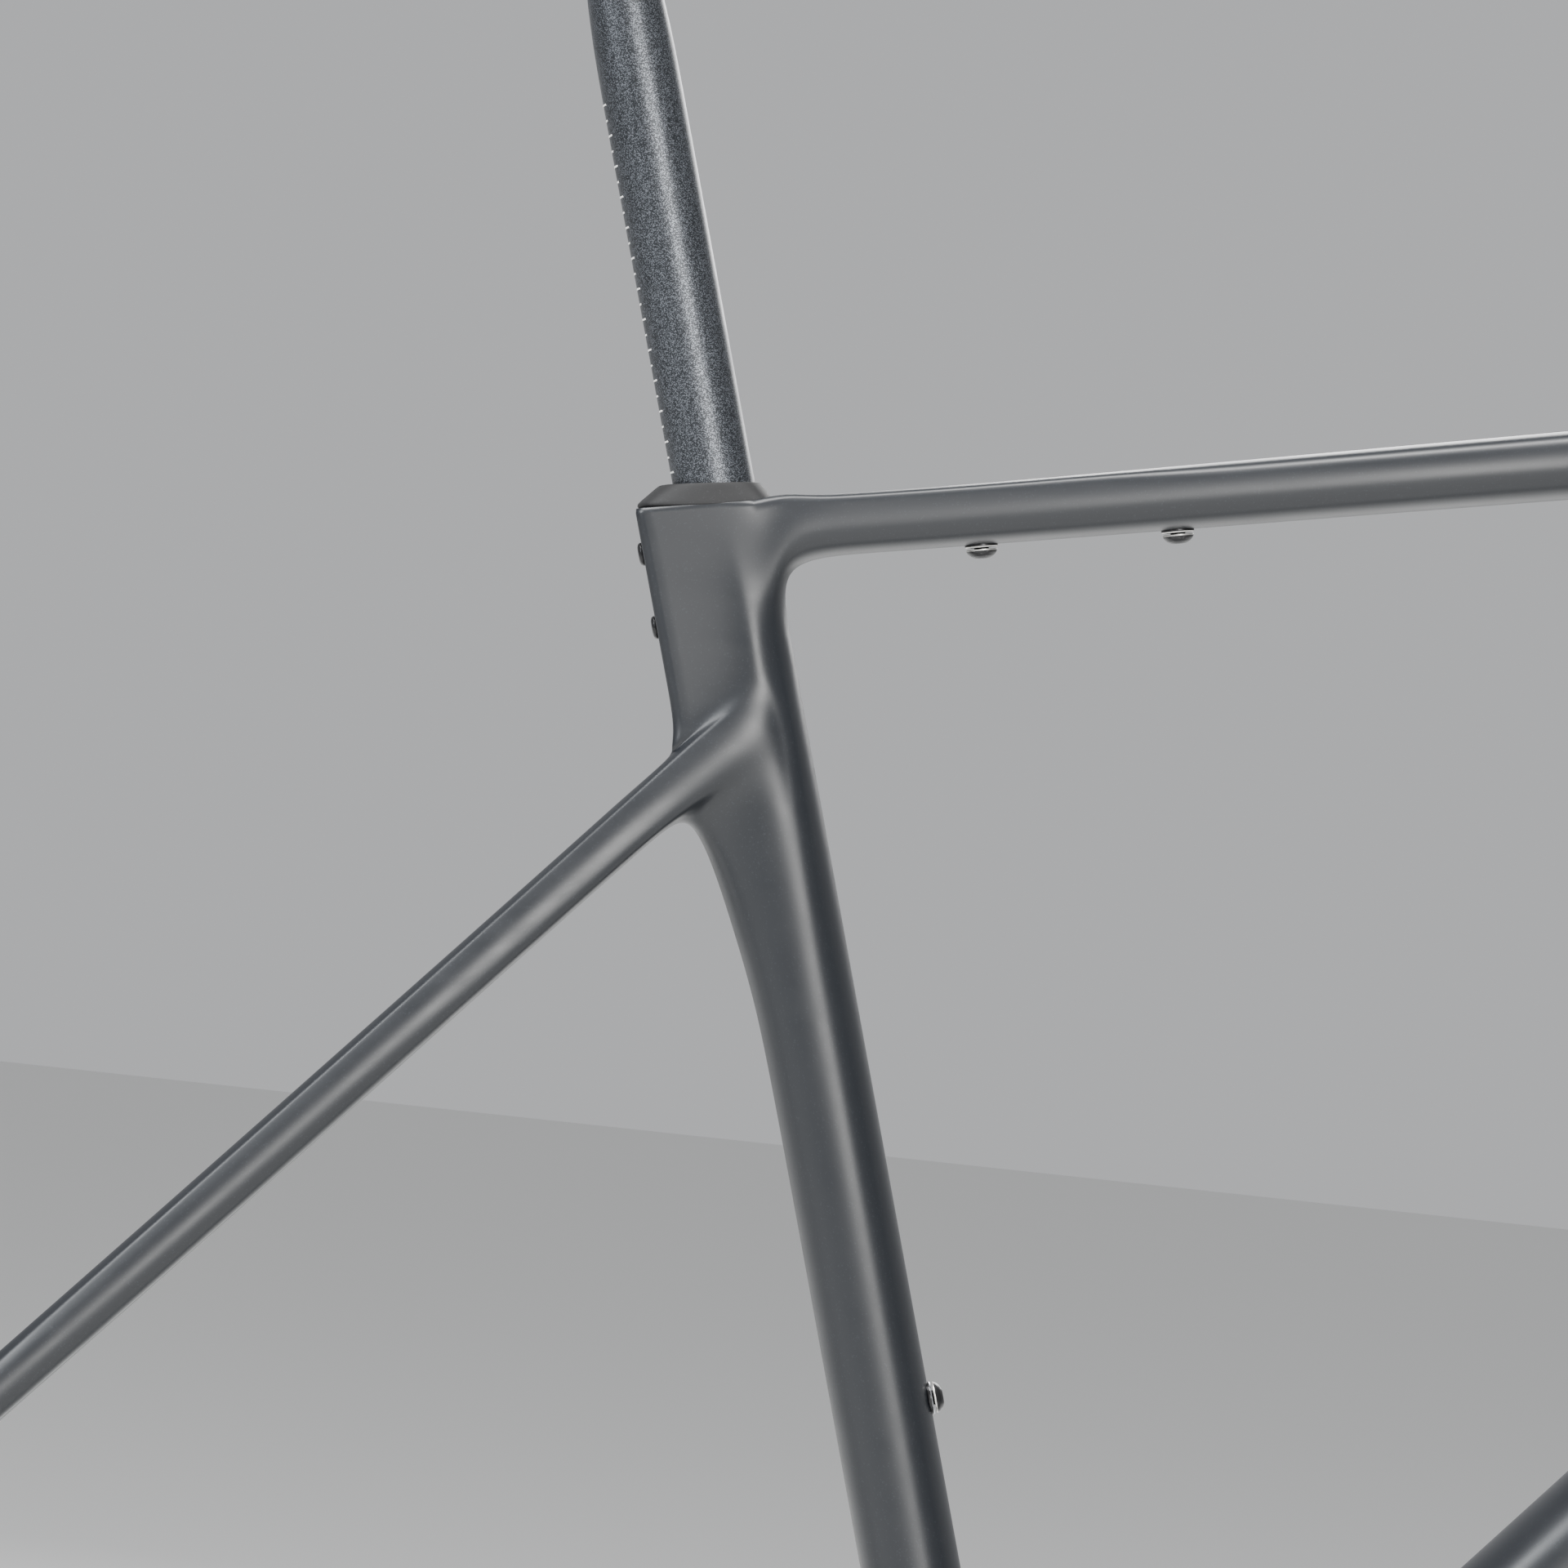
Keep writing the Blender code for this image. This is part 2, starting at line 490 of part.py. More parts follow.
def make_clamp():
    """The cover, the pad behind the post and its threaded plate, which is returned."""
    cover = finish(loft(cover_sections(), 32, SEAT_FORWARD, 0.0, True), "clamp_cover", "rubber")
    hole = post_sections((480 * MM, 540 * MM), -0.4)
    boolean(cover, finish(loft(hole, 24, SEAT_FORWARD, 0.0, True), "cover_hole_cutter"))
    blocks = {}
    for name, front, rear, side, finish_name in CLAMP_BLOCKS:
        sections = [seat_station(along, front, rear, side, 6.0)
                    for along in (CLAMP_BLOCK_LOW, CLAMP_BLOCK_HIGH)]
        blocks[name] = finish(loft(sections, 16, SEAT_FORWARD, 0.0, True), name, finish_name)
    return blocks["clamp_thread_plate"]


def add_clamp_bolts(cluster, thread_plate):
    """Two button-head bolts through the rear wall of the cluster, bearing on the pad."""
    for name, along in CLAMP_BOLTS:
        outside = SEAT_AXIS * along * MM + SEAT_FORWARD * CLUSTER_REAR
        finish(turned(CLAMP_BOLT, outside, -SEAT_FORWARD, 12), name, "black_steel")
        for target in (cluster, thread_plate):
            bore(target, name, 2.3 * MM, outside, SEAT_FORWARD, 9 * MM)


# ---------------------------------------------------------------- bolts, bosses, bearings
def boss_and_bolt(tube, stem, foot, outwards, boss_finish):
    """A threaded boss set through a tube wall, with its button-head bolt."""
    boss = turned(BOSS, foot, outwards, 12, bored=True)
    finish(boss, stem.replace("#", "boss"), boss_finish)
    finish(turned(BUTTON_BOLT, foot, outwards, 12), stem.replace("#", "bolt"), "black_steel")
    bore(tube, stem.replace("#", "boss"), 3.8 * MM, foot, outwards, 10 * MM)


def surface_point(first, second, x, sign):
    """A point at x millimetres on a tube between two sections, and the outward direction.

    sign is 1 for the tube's upper side and -1 for its underside.
    """
    fraction = (x * MM - first.centre.x) / (second.centre.x - first.centre.x)
    along = (second.centre - first.centre).normalized()
    outwards = (UP - along * UP.dot(along)).normalized() * sign
    near, far = (s.ahead if sign > 0 else s.behind for s in (first, second))
    depth = near + (far - near) * fraction
    return first.centre.lerp(second.centre, fraction) + outwards * depth, outwards


def add_bosses(tubes):
    """Bag bolts under the top tube, bottle bolts on the down tube and seat tube."""
    for name, first, last, x in TOP_TUBE_BOLTS:
        foot, outwards = surface_point(TOP_TUBE[first], TOP_TUBE[last], x, -1.0)
        boss_and_bolt(tubes["top"], name, foot, outwards, "steel")
    for name, first, last, x in DOWN_TUBE_BOLTS:
        foot, outwards = surface_point(DOWN_TUBE[first], DOWN_TUBE[last], x, 1.0)
        boss_and_bolt(tubes["down"], name, foot, outwards, "alloy")
    for name, along in SEAT_TUBE_BOLTS:
        foot = SEAT_AXIS * along * MM + SEAT_FORWARD * CLUSTER_FRONT
        boss_and_bolt(tubes["seat"], name, foot, SEAT_FORWARD, "alloy")


def turned_ring(name, sizes, origin, direction, finish_name):
    """A plain ring from its radii and heights in millimetres."""
    finish(turned(ring_profile(*sizes), origin, direction, 20, True), name, finish_name)


def make_headset():
    """Upper and lower bearings, the compression ring and the top cover."""
    turned_ring("headset_upper_outer_race", UPPER_OUTER_RACE, HEAD_TOP, HEAD_AXIS, "steel")
    turned_ring("headset_upper_inner_race", UPPER_INNER_RACE, HEAD_TOP, HEAD_AXIS, "steel")
    turned_ring("headset_compression_ring", COMPRESSION_RING, HEAD_TOP, HEAD_AXIS, "alloy")
    turned_ring("headset_lower_outer_race", LOWER_OUTER_RACE, HEAD_BOTTOM, HEAD_AXIS, "steel")
    turned_ring("headset_lower_inner_race", LOWER_INNER_RACE, HEAD_BOTTOM, HEAD_AXIS, "steel")
    cover = turned(HEADSET_COVER, HEAD_TOP, HEAD_AXIS, 20, True)
    finish(cover, "headset_cover", "black_alloy")


def make_bottom_bracket():
    """Outboard cups, their turning inner races and the sleeve between them."""
    for side, sign in (("left", 1.0), ("right", -1.0)):
        cup = turned(BB_CUP, Vector(), LEFT * sign, 20, True)
        finish(cup, "bb_cup_" + side, "black_alloy")
        turned_ring("bb_inner_race_" + side, BB_INNER_RACE, Vector(), LEFT * sign, "steel")
    turned_ring("bb_sleeve", BB_SLEEVE, Vector(), LEFT, "plastic")


def make_rear_axle(right_dropout):
    """Thru axle from the left, and the bolted derailleur hanger it screws into."""
    outer = DROPOUT_INNER + DROPOUT_THICKNESS
    face = -(outer + GAP)
    hanger = finish(plate(HANGER_OUTLINE, REAR_AXLE, face - HANGER_THICKNESS, face),
                    "derailleur_hanger", "black_alloy")
    bore(hanger, "hanger_axle", AXLE_BORE, REAR_AXLE - LEFT * outer, LEFT, 12 * MM)
    thread = REAR_AXLE + Vector((HANGER_THREAD[0] * MM, -outer, HANGER_THREAD[1] * MM))
    bore(hanger, "hanger_thread", 5.0 * MM, thread, LEFT, 12 * MM)
    screw_at = REAR_AXLE + Vector((HANGER_SCREW[0] * MM, 0.0, HANGER_SCREW[1] * MM))
    bore(hanger, "hanger_screw", 1.9 * MM, screw_at, LEFT, 120 * MM, 14)
    bore(right_dropout, "dropout_screw", 1.9 * MM, screw_at - LEFT * outer, LEFT, 6 * MM, 14)
    screw = turned(HANGER_BOLT, screw_at + LEFT * face, -LEFT, 18)
    finish(screw, "hanger_bolt", "black_steel")
    finish(turned(THRU_AXLE, REAR_AXLE, LEFT, 20), "thru_axle", "black_alloy")


def add_brake_mount(left_chainstay):
    """Flat brake pads on the left chainstay, with a bolt through each from below."""
    along = (CHAINSTAY[6].centre - CHAINSTAY[4].centre).normalized()
    ahead = (UP - along * UP.dot(along)).normalized()
    for name, step in BRAKE_STEPS:
        centre = CHAINSTAY[5].centre + along * (step * MM)
        pad = finish(turned(BRAKE_PAD, centre, ahead, 12), "brake_pad_cutter_" + name)
        boolean(left_chainstay, pad, 'UNION')
        bore(left_chainstay, "brake_" + name, 2.9 * MM, centre, ahead, 20 * MM)
        finish(turned(BRAKE_BOLT, centre, ahead, 12), "brake_bolt_" + name, "black_steel")


def make_protector():
    """A moulded rubber strip over the right chainstay."""
    mirrored = Vector((1.0, -1.0, 1.0))
    first, last = CHAINSTAY[3].centre * mirrored, CHAINSTAY[5].centre * mirrored
    along = (last - first).normalized()
    ahead = (UP - along * UP.dot(along)).normalized()
    bm = loft(CHAINSTAY[3:6], STAY_SIDES, UP, PROTECTOR_RISE, mirror=True)
    bmesh.ops.bisect_plane(bm, geom=bm.verts[:] + bm.edges[:] + bm.faces[:], clear_inner=True,
                           plane_co=(first + last) / 2.0 + ahead * 2.0 * MM, plane_no=ahead)
    wall(finish(bm, "chainstay_protector", "rubber"), PROTECTOR_WALL)


def make_cable_port():
    """The cover plate under the bottom bracket shell and its screw."""
    under = Vector((0.0, 0.0, -SHELL_RADIUS - PORT_COVER_DROP))
    bm = bmesh.new()
    bmesh.ops.create_cube(bm, size=1.0)
    bmesh.ops.scale(bm, verts=bm.verts, vec=PORT_COVER)
    bmesh.ops.translate(bm, verts=bm.verts, vec=under + UP * PORT_COVER[2] / 2.0)
    upright = [edge for edge in bm.edges if abs(edge.verts[0].co.z - edge.verts[1].co.z) > MM]
    bmesh.ops.bevel(bm, geom=upright, offset=PORT_COVER_CORNER, segments=4, profile=0.5,
                    affect='EDGES', material=-1)
    cover = finish(bm, "cable_port_cover", "plastic")
    bore(cover, "cover_screw", 1.8 * MM, under, UP, 6 * MM)
    finish(turned(PORT_SCREW, under, -UP, 16), "cable_port_screw", "black_steel")


def main():
    """Build every piece of the frame."""
    clear_scene()
    cutters = make_cutters()
    tubes = make_main_tubes(cutters)
    make_shell()
    stays = make_stays(cutters)
    make_seatpost()
    make_saddle_clamp()
    add_clamp_bolts(tubes["cluster"], make_clamp())
    add_bosses(tubes)
    make_headset()
    make_bottom_bracket()
    make_rear_axle(stays["right"]["dropout"])
    add_brake_mount(stays["left"]["chain"])
    make_protector()
    make_cable_port()


main()
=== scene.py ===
"""The looks of a carbon road bicycle frame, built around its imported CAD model.

The painted monocoque is one subdivision surface: tubes are grown as rings of eight points from
the bottom bracket shell, and each joint between two tubes is a window cut in one of them, out
of which the other grows. The fittings are turned, extruded and bevelled pieces.
"""

import json
import logging
import math
from dataclasses import dataclass, field
from enum import Enum
from typing import Callable, Iterable, Optional, Sequence

import bmesh
import bpy
from bmesh.types import BMesh, BMVert
from mathutils import Matrix, Vector

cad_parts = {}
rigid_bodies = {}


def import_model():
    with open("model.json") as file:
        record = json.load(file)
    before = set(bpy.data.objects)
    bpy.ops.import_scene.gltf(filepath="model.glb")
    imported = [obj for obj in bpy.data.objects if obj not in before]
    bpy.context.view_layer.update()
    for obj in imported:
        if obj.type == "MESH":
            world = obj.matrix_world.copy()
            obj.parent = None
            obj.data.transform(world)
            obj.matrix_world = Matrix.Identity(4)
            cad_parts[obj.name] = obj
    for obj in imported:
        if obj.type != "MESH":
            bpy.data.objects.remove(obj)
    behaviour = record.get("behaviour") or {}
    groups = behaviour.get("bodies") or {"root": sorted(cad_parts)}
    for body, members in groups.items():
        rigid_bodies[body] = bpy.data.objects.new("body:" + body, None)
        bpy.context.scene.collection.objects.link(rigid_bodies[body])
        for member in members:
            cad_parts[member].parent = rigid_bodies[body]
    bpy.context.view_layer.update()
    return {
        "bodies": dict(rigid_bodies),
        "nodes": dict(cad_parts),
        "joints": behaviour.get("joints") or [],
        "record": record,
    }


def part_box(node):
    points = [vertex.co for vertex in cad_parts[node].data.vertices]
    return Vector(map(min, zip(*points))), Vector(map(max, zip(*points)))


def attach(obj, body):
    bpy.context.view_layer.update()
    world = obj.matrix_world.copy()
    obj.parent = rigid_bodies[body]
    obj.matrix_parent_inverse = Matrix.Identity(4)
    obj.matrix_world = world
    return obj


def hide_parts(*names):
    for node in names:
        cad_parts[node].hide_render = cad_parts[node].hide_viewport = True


LOG = logging.getLogger("frame_looks")
MM = 0.001
UP = Vector((0.0, 0.0, 1.0))
LEFT = Vector((0.0, 1.0, 0.0))
FORWARD = Vector((1.0, 0.0, 0.0))
RING = 8                      # control points round a tube
SEAT_RING = 10                # control points round the seat tube, which has flat sides
GROWN_LEVELS = 3              # subdivision levels of the pieces grown as rings
FIT_PASSES, FIT_RATE = 14, 1.3    # how a control ring is fitted to the points it must reach
MIX_A, MIX_B, MIX_RESULT = 6, 7, 2    # the colour sockets of a Mix node


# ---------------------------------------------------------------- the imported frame
@dataclass
class Layout:
    """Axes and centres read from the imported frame.
    """

    frame: dict
    seat_axis: Vector = field(init=False)
    seat_forward: Vector = field(init=False)
    head_axis: Vector = field(init=False)
    head_forward: Vector = field(init=False)
    head_top: Vector = field(init=False)
    head_bottom: Vector = field(init=False)
    rear_axle: Vector = field(init=False)
    saddle_pivot: Vector = field(init=False)

    def __post_init__(self) -> None:
        """Read each axis and centre from the joints that turn or slide on it."""
        joints = {joint["name"]: joint for joint in self.frame["joints"]}
        self.seat_axis = Vector(joints["seatpost_height"]["axis"]).normalized()
        self.seat_forward = LEFT.cross(self.seat_axis)
        self.head_axis = Vector(joints["steering_upper_turn"]["axis"]).normalized()
        self.head_forward = LEFT.cross(self.head_axis)
        self.head_top = Vector(joints["steering_upper_turn"]["pos_m"])
        self.head_bottom = Vector(joints["steering_lower_turn"]["pos_m"])
        self.saddle_pivot = Vector(joints["saddle_tilt"]["pos_m"])
        low, high = (Vector(corner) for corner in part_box("thru_axle"))
        middle = (low + high) / 2.0
        self.rear_axle = Vector((middle.x, 0.0, middle.z))

    def seat_point(self, along: float, ahead: float, side: float) -> Vector:
        """A point in millimetres along, ahead of and beside the seat axis."""
        return (self.seat_axis * along + self.seat_forward * ahead + LEFT * side) * MM

    def head_point(self, height: float, ahead: float, side: float) -> Vector:
        """A point in millimetres up, ahead of and beside the head tube's lower end."""
        shift = self.head_axis * height + self.head_forward * ahead + LEFT * side
        return self.head_bottom + shift * MM


# ---------------------------------------------------------------- shader groups
class Effect(Enum):
    """The surface effects that several finishes share."""

    GRAIN = "surface_grain"
    FLECKS = "metal_flecks"
    HANDLING = "handling_marks"


@dataclass
class EffectGroup:
    """Builds a shader node group with named inputs and outputs.

    Args:
        effect: which effect it is.
    """

    effect: Effect
    tree: bpy.types.NodeTree = field(init=False)

    def __post_init__(self) -> None:
        """Make the empty group and its Object coordinates."""
        self.tree = bpy.data.node_groups.new(self.effect.value, 'ShaderNodeTree')
        self.start = self.tree.nodes.new('NodeGroupInput')
        self.end = self.tree.nodes.new('NodeGroupOutput')
        self.place = self.tree.nodes.new('ShaderNodeTexCoord')

    def take(self, values: dict[str, float]) -> None:
        """Add named inputs.

        Args:
            values: the inputs' names and usual values.
        """
        for name, value in values.items():
            made = self.tree.interface.new_socket(name=name, in_out='INPUT', socket_type='NodeSocketFloat')
            made.default_value = value

    def give(self, name: str, source: bpy.types.NodeSocket, kind: str = 'NodeSocketFloat') -> None:
        """Add a named output and link a socket to it."""
        self.tree.interface.new_socket(name=name, in_out='OUTPUT', socket_type=kind)
        self.link(source, self.end.inputs[name])

    def node(self, kind: str, values: Optional[dict] = None, **settings) -> bpy.types.Node:
        """Add a node.

        Args:
            kind: the node's type.
            values: values of its input sockets, by name or number.
            settings: its own settings by name.

        Returns:
            The new node.
        """
        made = self.tree.nodes.new(kind)
        for name, value in settings.items():
            setattr(made, name, value)
        for name, value in (values or {}).items():
            made.inputs[name].default_value = value
        return made

    def link(self, source: bpy.types.NodeSocket, target: bpy.types.NodeSocket) -> None:
        """Link two sockets."""
        self.tree.links.new(source, target)

    def feed(self, name: str, target: bpy.types.NodeSocket) -> None:
        """Link a named input to a socket."""
        self.link(self.start.outputs[name], target)

    def locate(self, *nodes: bpy.types.Node) -> None:
        """Lay textures out in the object's own coordinates."""
        for node in nodes:
            self.link(self.place.outputs["Object"], node.inputs["Vector"])


def build_grain() -> bpy.types.NodeTree:
    """Fine moulded or blasted grain: a bump and a mask for the roughness.

    Returns:
        The shader group.
    """
    group = EffectGroup(Effect.GRAIN)
    group.take({"Scale": 900.0, "Strength": 0.1, "Depth": 0.0001})
    noise = group.node('ShaderNodeTexNoise', {"Detail": 3.0, "Roughness": 0.6})
    bump = group.node('ShaderNodeBump')
    group.locate(noise)
    group.feed("Scale", noise.inputs["Scale"])
    group.feed("Strength", bump.inputs["Strength"])
    group.feed("Depth", bump.inputs["Distance"])
    group.link(noise.outputs["Fac"], bump.inputs["Height"])
    group.give("Mask", noise.outputs["Fac"])
    group.give("Normal", bump.outputs["Normal"], 'NodeSocketVector')
    return group.tree


def build_flecks() -> bpy.types.NodeTree:
    """Random bright cells, as metal flake in paint: a mask.

    Returns:
        The shader group.
    """
    group = EffectGroup(Effect.FLECKS)
    group.take({"Scale": 1500.0, "Coverage": 0.2, "Softness": 0.1})
    cells = group.node('ShaderNodeTexVoronoi')
    split = group.node('ShaderNodeSeparateColor')
    start = group.node('ShaderNodeMath', {0: 1.0}, operation='SUBTRACT')
    stop = group.node('ShaderNodeMath', operation='ADD')
    ramp = group.node('ShaderNodeMapRange', interpolation_type='SMOOTHSTEP')
    group.locate(cells)
    group.feed("Scale", cells.inputs["Scale"])
    group.link(cells.outputs["Color"], split.inputs["Color"])
    group.feed("Coverage", start.inputs[1])
    group.link(start.outputs["Value"], stop.inputs[0])
    group.feed("Softness", stop.inputs[1])
    group.link(split.outputs["Red"], ramp.inputs["Value"])
    group.link(start.outputs["Value"], ramp.inputs["From Min"])
    group.link(stop.outputs["Value"], ramp.inputs["From Max"])
    group.give("Mask", ramp.outputs["Result"])
    return group.tree


def build_handling() -> bpy.types.NodeTree:
    """Broad soft patches and long faint wipes, as handled and cleaned paint shows: a mask.

    Returns:
        The shader group.
    """
    group = EffectGroup(Effect.HANDLING)
    group.take({"Scale": 9.0, "Wipe Scale": 60.0})
    broad = group.node('ShaderNodeTexNoise', {"Detail": 4.0})
    stretch = group.node('ShaderNodeMapping', {"Scale": (0.25, 1.0, 1.6)})
    wipes = group.node('ShaderNodeTexNoise', {"Detail": 5.0})
    both = group.node('ShaderNodeMath', operation='MULTIPLY')
    lift = group.node('ShaderNodeMapRange', {"From Min": 0.15, "From Max": 0.4})
    group.locate(broad, stretch)
    group.link(stretch.outputs["Vector"], wipes.inputs["Vector"])
    group.feed("Scale", broad.inputs["Scale"])
    group.feed("Wipe Scale", wipes.inputs["Scale"])
    group.link(broad.outputs["Fac"], both.inputs[0])
    group.link(wipes.outputs["Fac"], both.inputs[1])
    group.link(both.outputs["Value"], lift.inputs["Value"])
    group.give("Mask", lift.outputs["Result"])
    return group.tree


BUILDERS: dict[Effect, Callable[[], bpy.types.NodeTree]] = {
    Effect.GRAIN: build_grain, Effect.FLECKS: build_flecks, Effect.HANDLING: build_handling,
}


def effect_tree(effect: Effect) -> bpy.types.NodeTree:
    """The effect's node group, built the first time it is asked for."""
    return bpy.data.node_groups.get(effect.value) or BUILDERS[effect]()


# ---------------------------------------------------------------- finishes
@dataclass(frozen=True)
class Finish:
    """A procedural surface finish.

    Args:
        name: the material's name.
        colour: base colour, linear.
        fleck_colour: colour of the flecks.
        roughness: lowest and highest roughness over the grain and handling marks.
        metallic: 0 for paint, plastic and rubber.
        grain_scale: grains to the metre.
        grain_depth: strength of the grain's bump, 0 to 1.
        fleck_scale: flecks to the metre.
        fleck_cover: share of the surface that flecks cover.
        coat: clear lacquer over it.
        coat_roughness: how soft the lacquer's reflections are.
        specular: how strongly the surface under the lacquer reflects.
    """

    name: str
    colour: tuple[float, float, float]
    fleck_colour: tuple[float, float, float]
    roughness: tuple[float, float]
    metallic: float = 0.0
    grain_scale: float = 1400.0
    grain_depth: float = 0.15
    fleck_scale: float = 2200.0
    fleck_cover: float = 0.1
    coat: float = 0.0
    coat_roughness: float = 0.2
    specular: float = 0.5

    def build(self) -> bpy.types.Material:
        """Build the material the first time it is asked for.

        Returns:
            The finish's material.
        """
        made = bpy.data.materials.get(self.name)
        if made:
            return made
        made = bpy.data.materials.new(self.name)
        made.use_nodes = True
        nodes, links = made.node_tree.nodes, made.node_tree.links
        shader = nodes["Principled BSDF"]
        for name, value in (("Metallic", self.metallic), ("Coat Weight", self.coat),
                            ("Coat Roughness", self.coat_roughness), ("Specular IOR Level", self.specular)):
            shader.inputs[name].default_value = value
        groups = {}
        for effect in Effect:
            groups[effect] = nodes.new('ShaderNodeGroup')
            groups[effect].node_tree = effect_tree(effect)
        grain, flecks, handling = (groups[effect] for effect in Effect)
        grain.inputs["Scale"].default_value = self.grain_scale
        grain.inputs["Strength"].default_value = self.grain_depth
        flecks.inputs["Scale"].default_value = self.fleck_scale
        flecks.inputs["Coverage"].default_value = self.fleck_cover
        tint = nodes.new('ShaderNodeMix')
        tint.data_type = 'RGBA'
        tint.inputs[MIX_A].default_value = (*self.colour, 1.0)
        tint.inputs[MIX_B].default_value = (*self.fleck_colour, 1.0)
        blend = nodes.new('ShaderNodeMath')
        blend.operation = 'MULTIPLY'
        spread = nodes.new('ShaderNodeMapRange')
        spread.inputs["To Min"].default_value = self.roughness[0]
        spread.inputs["To Max"].default_value = self.roughness[1]
        links.new(flecks.outputs["Mask"], tint.inputs[0])
        links.new(tint.outputs[MIX_RESULT], shader.inputs["Base Color"])
        links.new(grain.outputs["Mask"], blend.inputs[0])
        links.new(handling.outputs["Mask"], blend.inputs[1])
        links.new(blend.outputs["Value"], spread.inputs["Value"])
        links.new(spread.outputs["Result"], shader.inputs["Roughness"])
        links.new(grain.outputs["Normal"], shader.inputs["Normal"])
        return made


class Finishes:
    """The finishes used on the frame."""

    PAINT = Finish("satin_paint", (0.0075, 0.0088, 0.0112), (0.015, 0.0172, 0.021), (0.34, 0.48),
                   grain_scale=1500.0, grain_depth=0.05, fleck_scale=2600.0, fleck_cover=0.09,
                   coat=0.06, coat_roughness=0.30, specular=0.40)
    POST = Finish("post_lacquer", (0.016, 0.018, 0.021), (0.105, 0.113, 0.128), (0.34, 0.48), 0.6,
                  grain_scale=2600.0, grain_depth=0.22, fleck_scale=4200.0, fleck_cover=0.36)
    MARKS = Finish("printed_marks", (0.72, 0.72, 0.70), (0.60, 0.60, 0.58), (0.50, 0.70))
    RUBBER = Finish("moulded_rubber", (0.012, 0.012, 0.0125), (0.017, 0.017, 0.018), (0.60, 0.80),
                    grain_scale=1800.0, grain_depth=0.30, specular=0.28)
    STRIP = Finish("protector_rubber", (0.012, 0.012, 0.013), (0.018, 0.018, 0.019), (0.55, 0.75),
                   grain_scale=1200.0, grain_depth=0.35, specular=0.32)
    PLASTIC = Finish("moulded_plastic", (0.018, 0.018, 0.019), (0.026, 0.026, 0.027), (0.42, 0.60),
                     grain_scale=2000.0, grain_depth=0.25)
    ALLOY = Finish("machined_alloy", (0.50, 0.51, 0.53), (0.58, 0.59, 0.61), (0.22, 0.42), 1.0,
                   grain_scale=2600.0, grain_depth=0.10)
    STEEL = Finish("bright_steel", (0.46, 0.45, 0.43), (0.56, 0.55, 0.53), (0.16, 0.34), 1.0,
                   grain_scale=3000.0, grain_depth=0.08)
    BLACK_STEEL = Finish("blackened_steel", (0.020, 0.020, 0.021), (0.045, 0.045, 0.046), (0.28, 0.46),
                         0.7, grain_scale=2600.0, grain_depth=0.18)
    FLOOR = Finish("studio_paper", (0.80, 0.80, 0.79), (0.78, 0.78, 0.77), (0.80, 0.95),
                   grain_scale=600.0, grain_depth=0.02, specular=0.2)
    BLACK_ALLOY = Finish("anodised_alloy", (0.016, 0.016, 0.018), (0.030, 0.030, 0.033), (0.26, 0.44),
                         0.65, grain_scale=3000.0, grain_depth=0.16)


# ---------------------------------------------------------------- making objects
def make_object(mesh: BMesh, name: str, finishes: Sequence[Finish], levels: int = 0,
                angle: float = 35.0) -> bpy.types.Object:
    """Turn a bmesh into a linked object with its place in its mesh.

    Args:
        mesh: the shape, which is freed.
        name: the piece's name.
        finishes: its material slots.
        levels: subdivision levels, none for 0.
        angle: edges sharper than this many degrees stay sharp on unsubdivided pieces.

    Returns:
        The new object.
    """
    data = bpy.data.meshes.new(name)
    mesh.to_mesh(data)
    mesh.free()
    data.shade_smooth()
    if not levels:
        data.set_sharp_from_angle(angle=math.radians(angle))
    for finish in finishes:
        data.materials.append(finish.build())
    piece = bpy.data.objects.new(name, data)
    bpy.context.collection.objects.link(piece)
    if levels:
        step = piece.modifiers.new("subdivision", 'SUBSURF')
        step.levels = levels
        step.render_levels = levels
    return piece


def soften(piece: bpy.types.Object, width: float, segments: int = 2) -> None:
    """Round a piece's edges that are sharper than 30 degrees.

    Args:
        piece: the piece.
        width: width of the rounding in millimetres.
        segments: facets across it.
    """
    step = piece.modifiers.new("rounding", 'BEVEL')
    step.width = width * MM
    step.segments = segments
    step.limit_method = 'ANGLE'
    step.angle_limit = math.radians(30.0)


def fit(piece: bpy.types.Object, body: str, slot: str, *nodes: str) -> bpy.types.Object:
    """Let a piece ride a body and stand for CAD nodes.

    Args:
        piece: the piece.
        body: the CAD body that it rides.
        slot: not used.
        nodes: the CAD nodes that it stands for.

    Returns:
        The piece.
    """
    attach(piece, body)
    if nodes:
        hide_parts(*nodes)
    LOG.info("built %s, %d vertices", piece.name, len(piece.data.vertices))
    return piece


def axis_frame(origin: Vector, direction: Vector, across: Vector) -> Matrix:
    """A place for a piece made about Z.

    Args:
        origin: where its origin goes.
        direction: where its Z points.
        across: roughly where its X points.

    Returns:
        The matrix.
    """
    along = direction.normalized()
    ahead = (across - along * across.dot(along)).normalized()
    turn = Matrix((ahead, along.cross(ahead), along)).transposed()
    return Matrix.Translation(origin) @ turn.to_4x4()


def face_outwards(mesh: BMesh) -> BMesh:
    """Turn every face of a closed mesh outwards."""
    bmesh.ops.recalc_face_normals(mesh, faces=mesh.faces)
    return mesh


def squared(turn: float, power: float) -> tuple[float, float]:
    """The cosine and sine of an angle, pulled out towards a square.

    Args:
        turn: the angle in radians.
        power: 2 keeps the circle, more is squarer.

    Returns:
        Cosine and sine.
    """
    rise, reach = math.cos(turn), math.sin(turn)
    return (math.copysign(abs(rise) ** (2.0 / power), rise),
            math.copysign(abs(reach) ** (2.0 / power), reach))


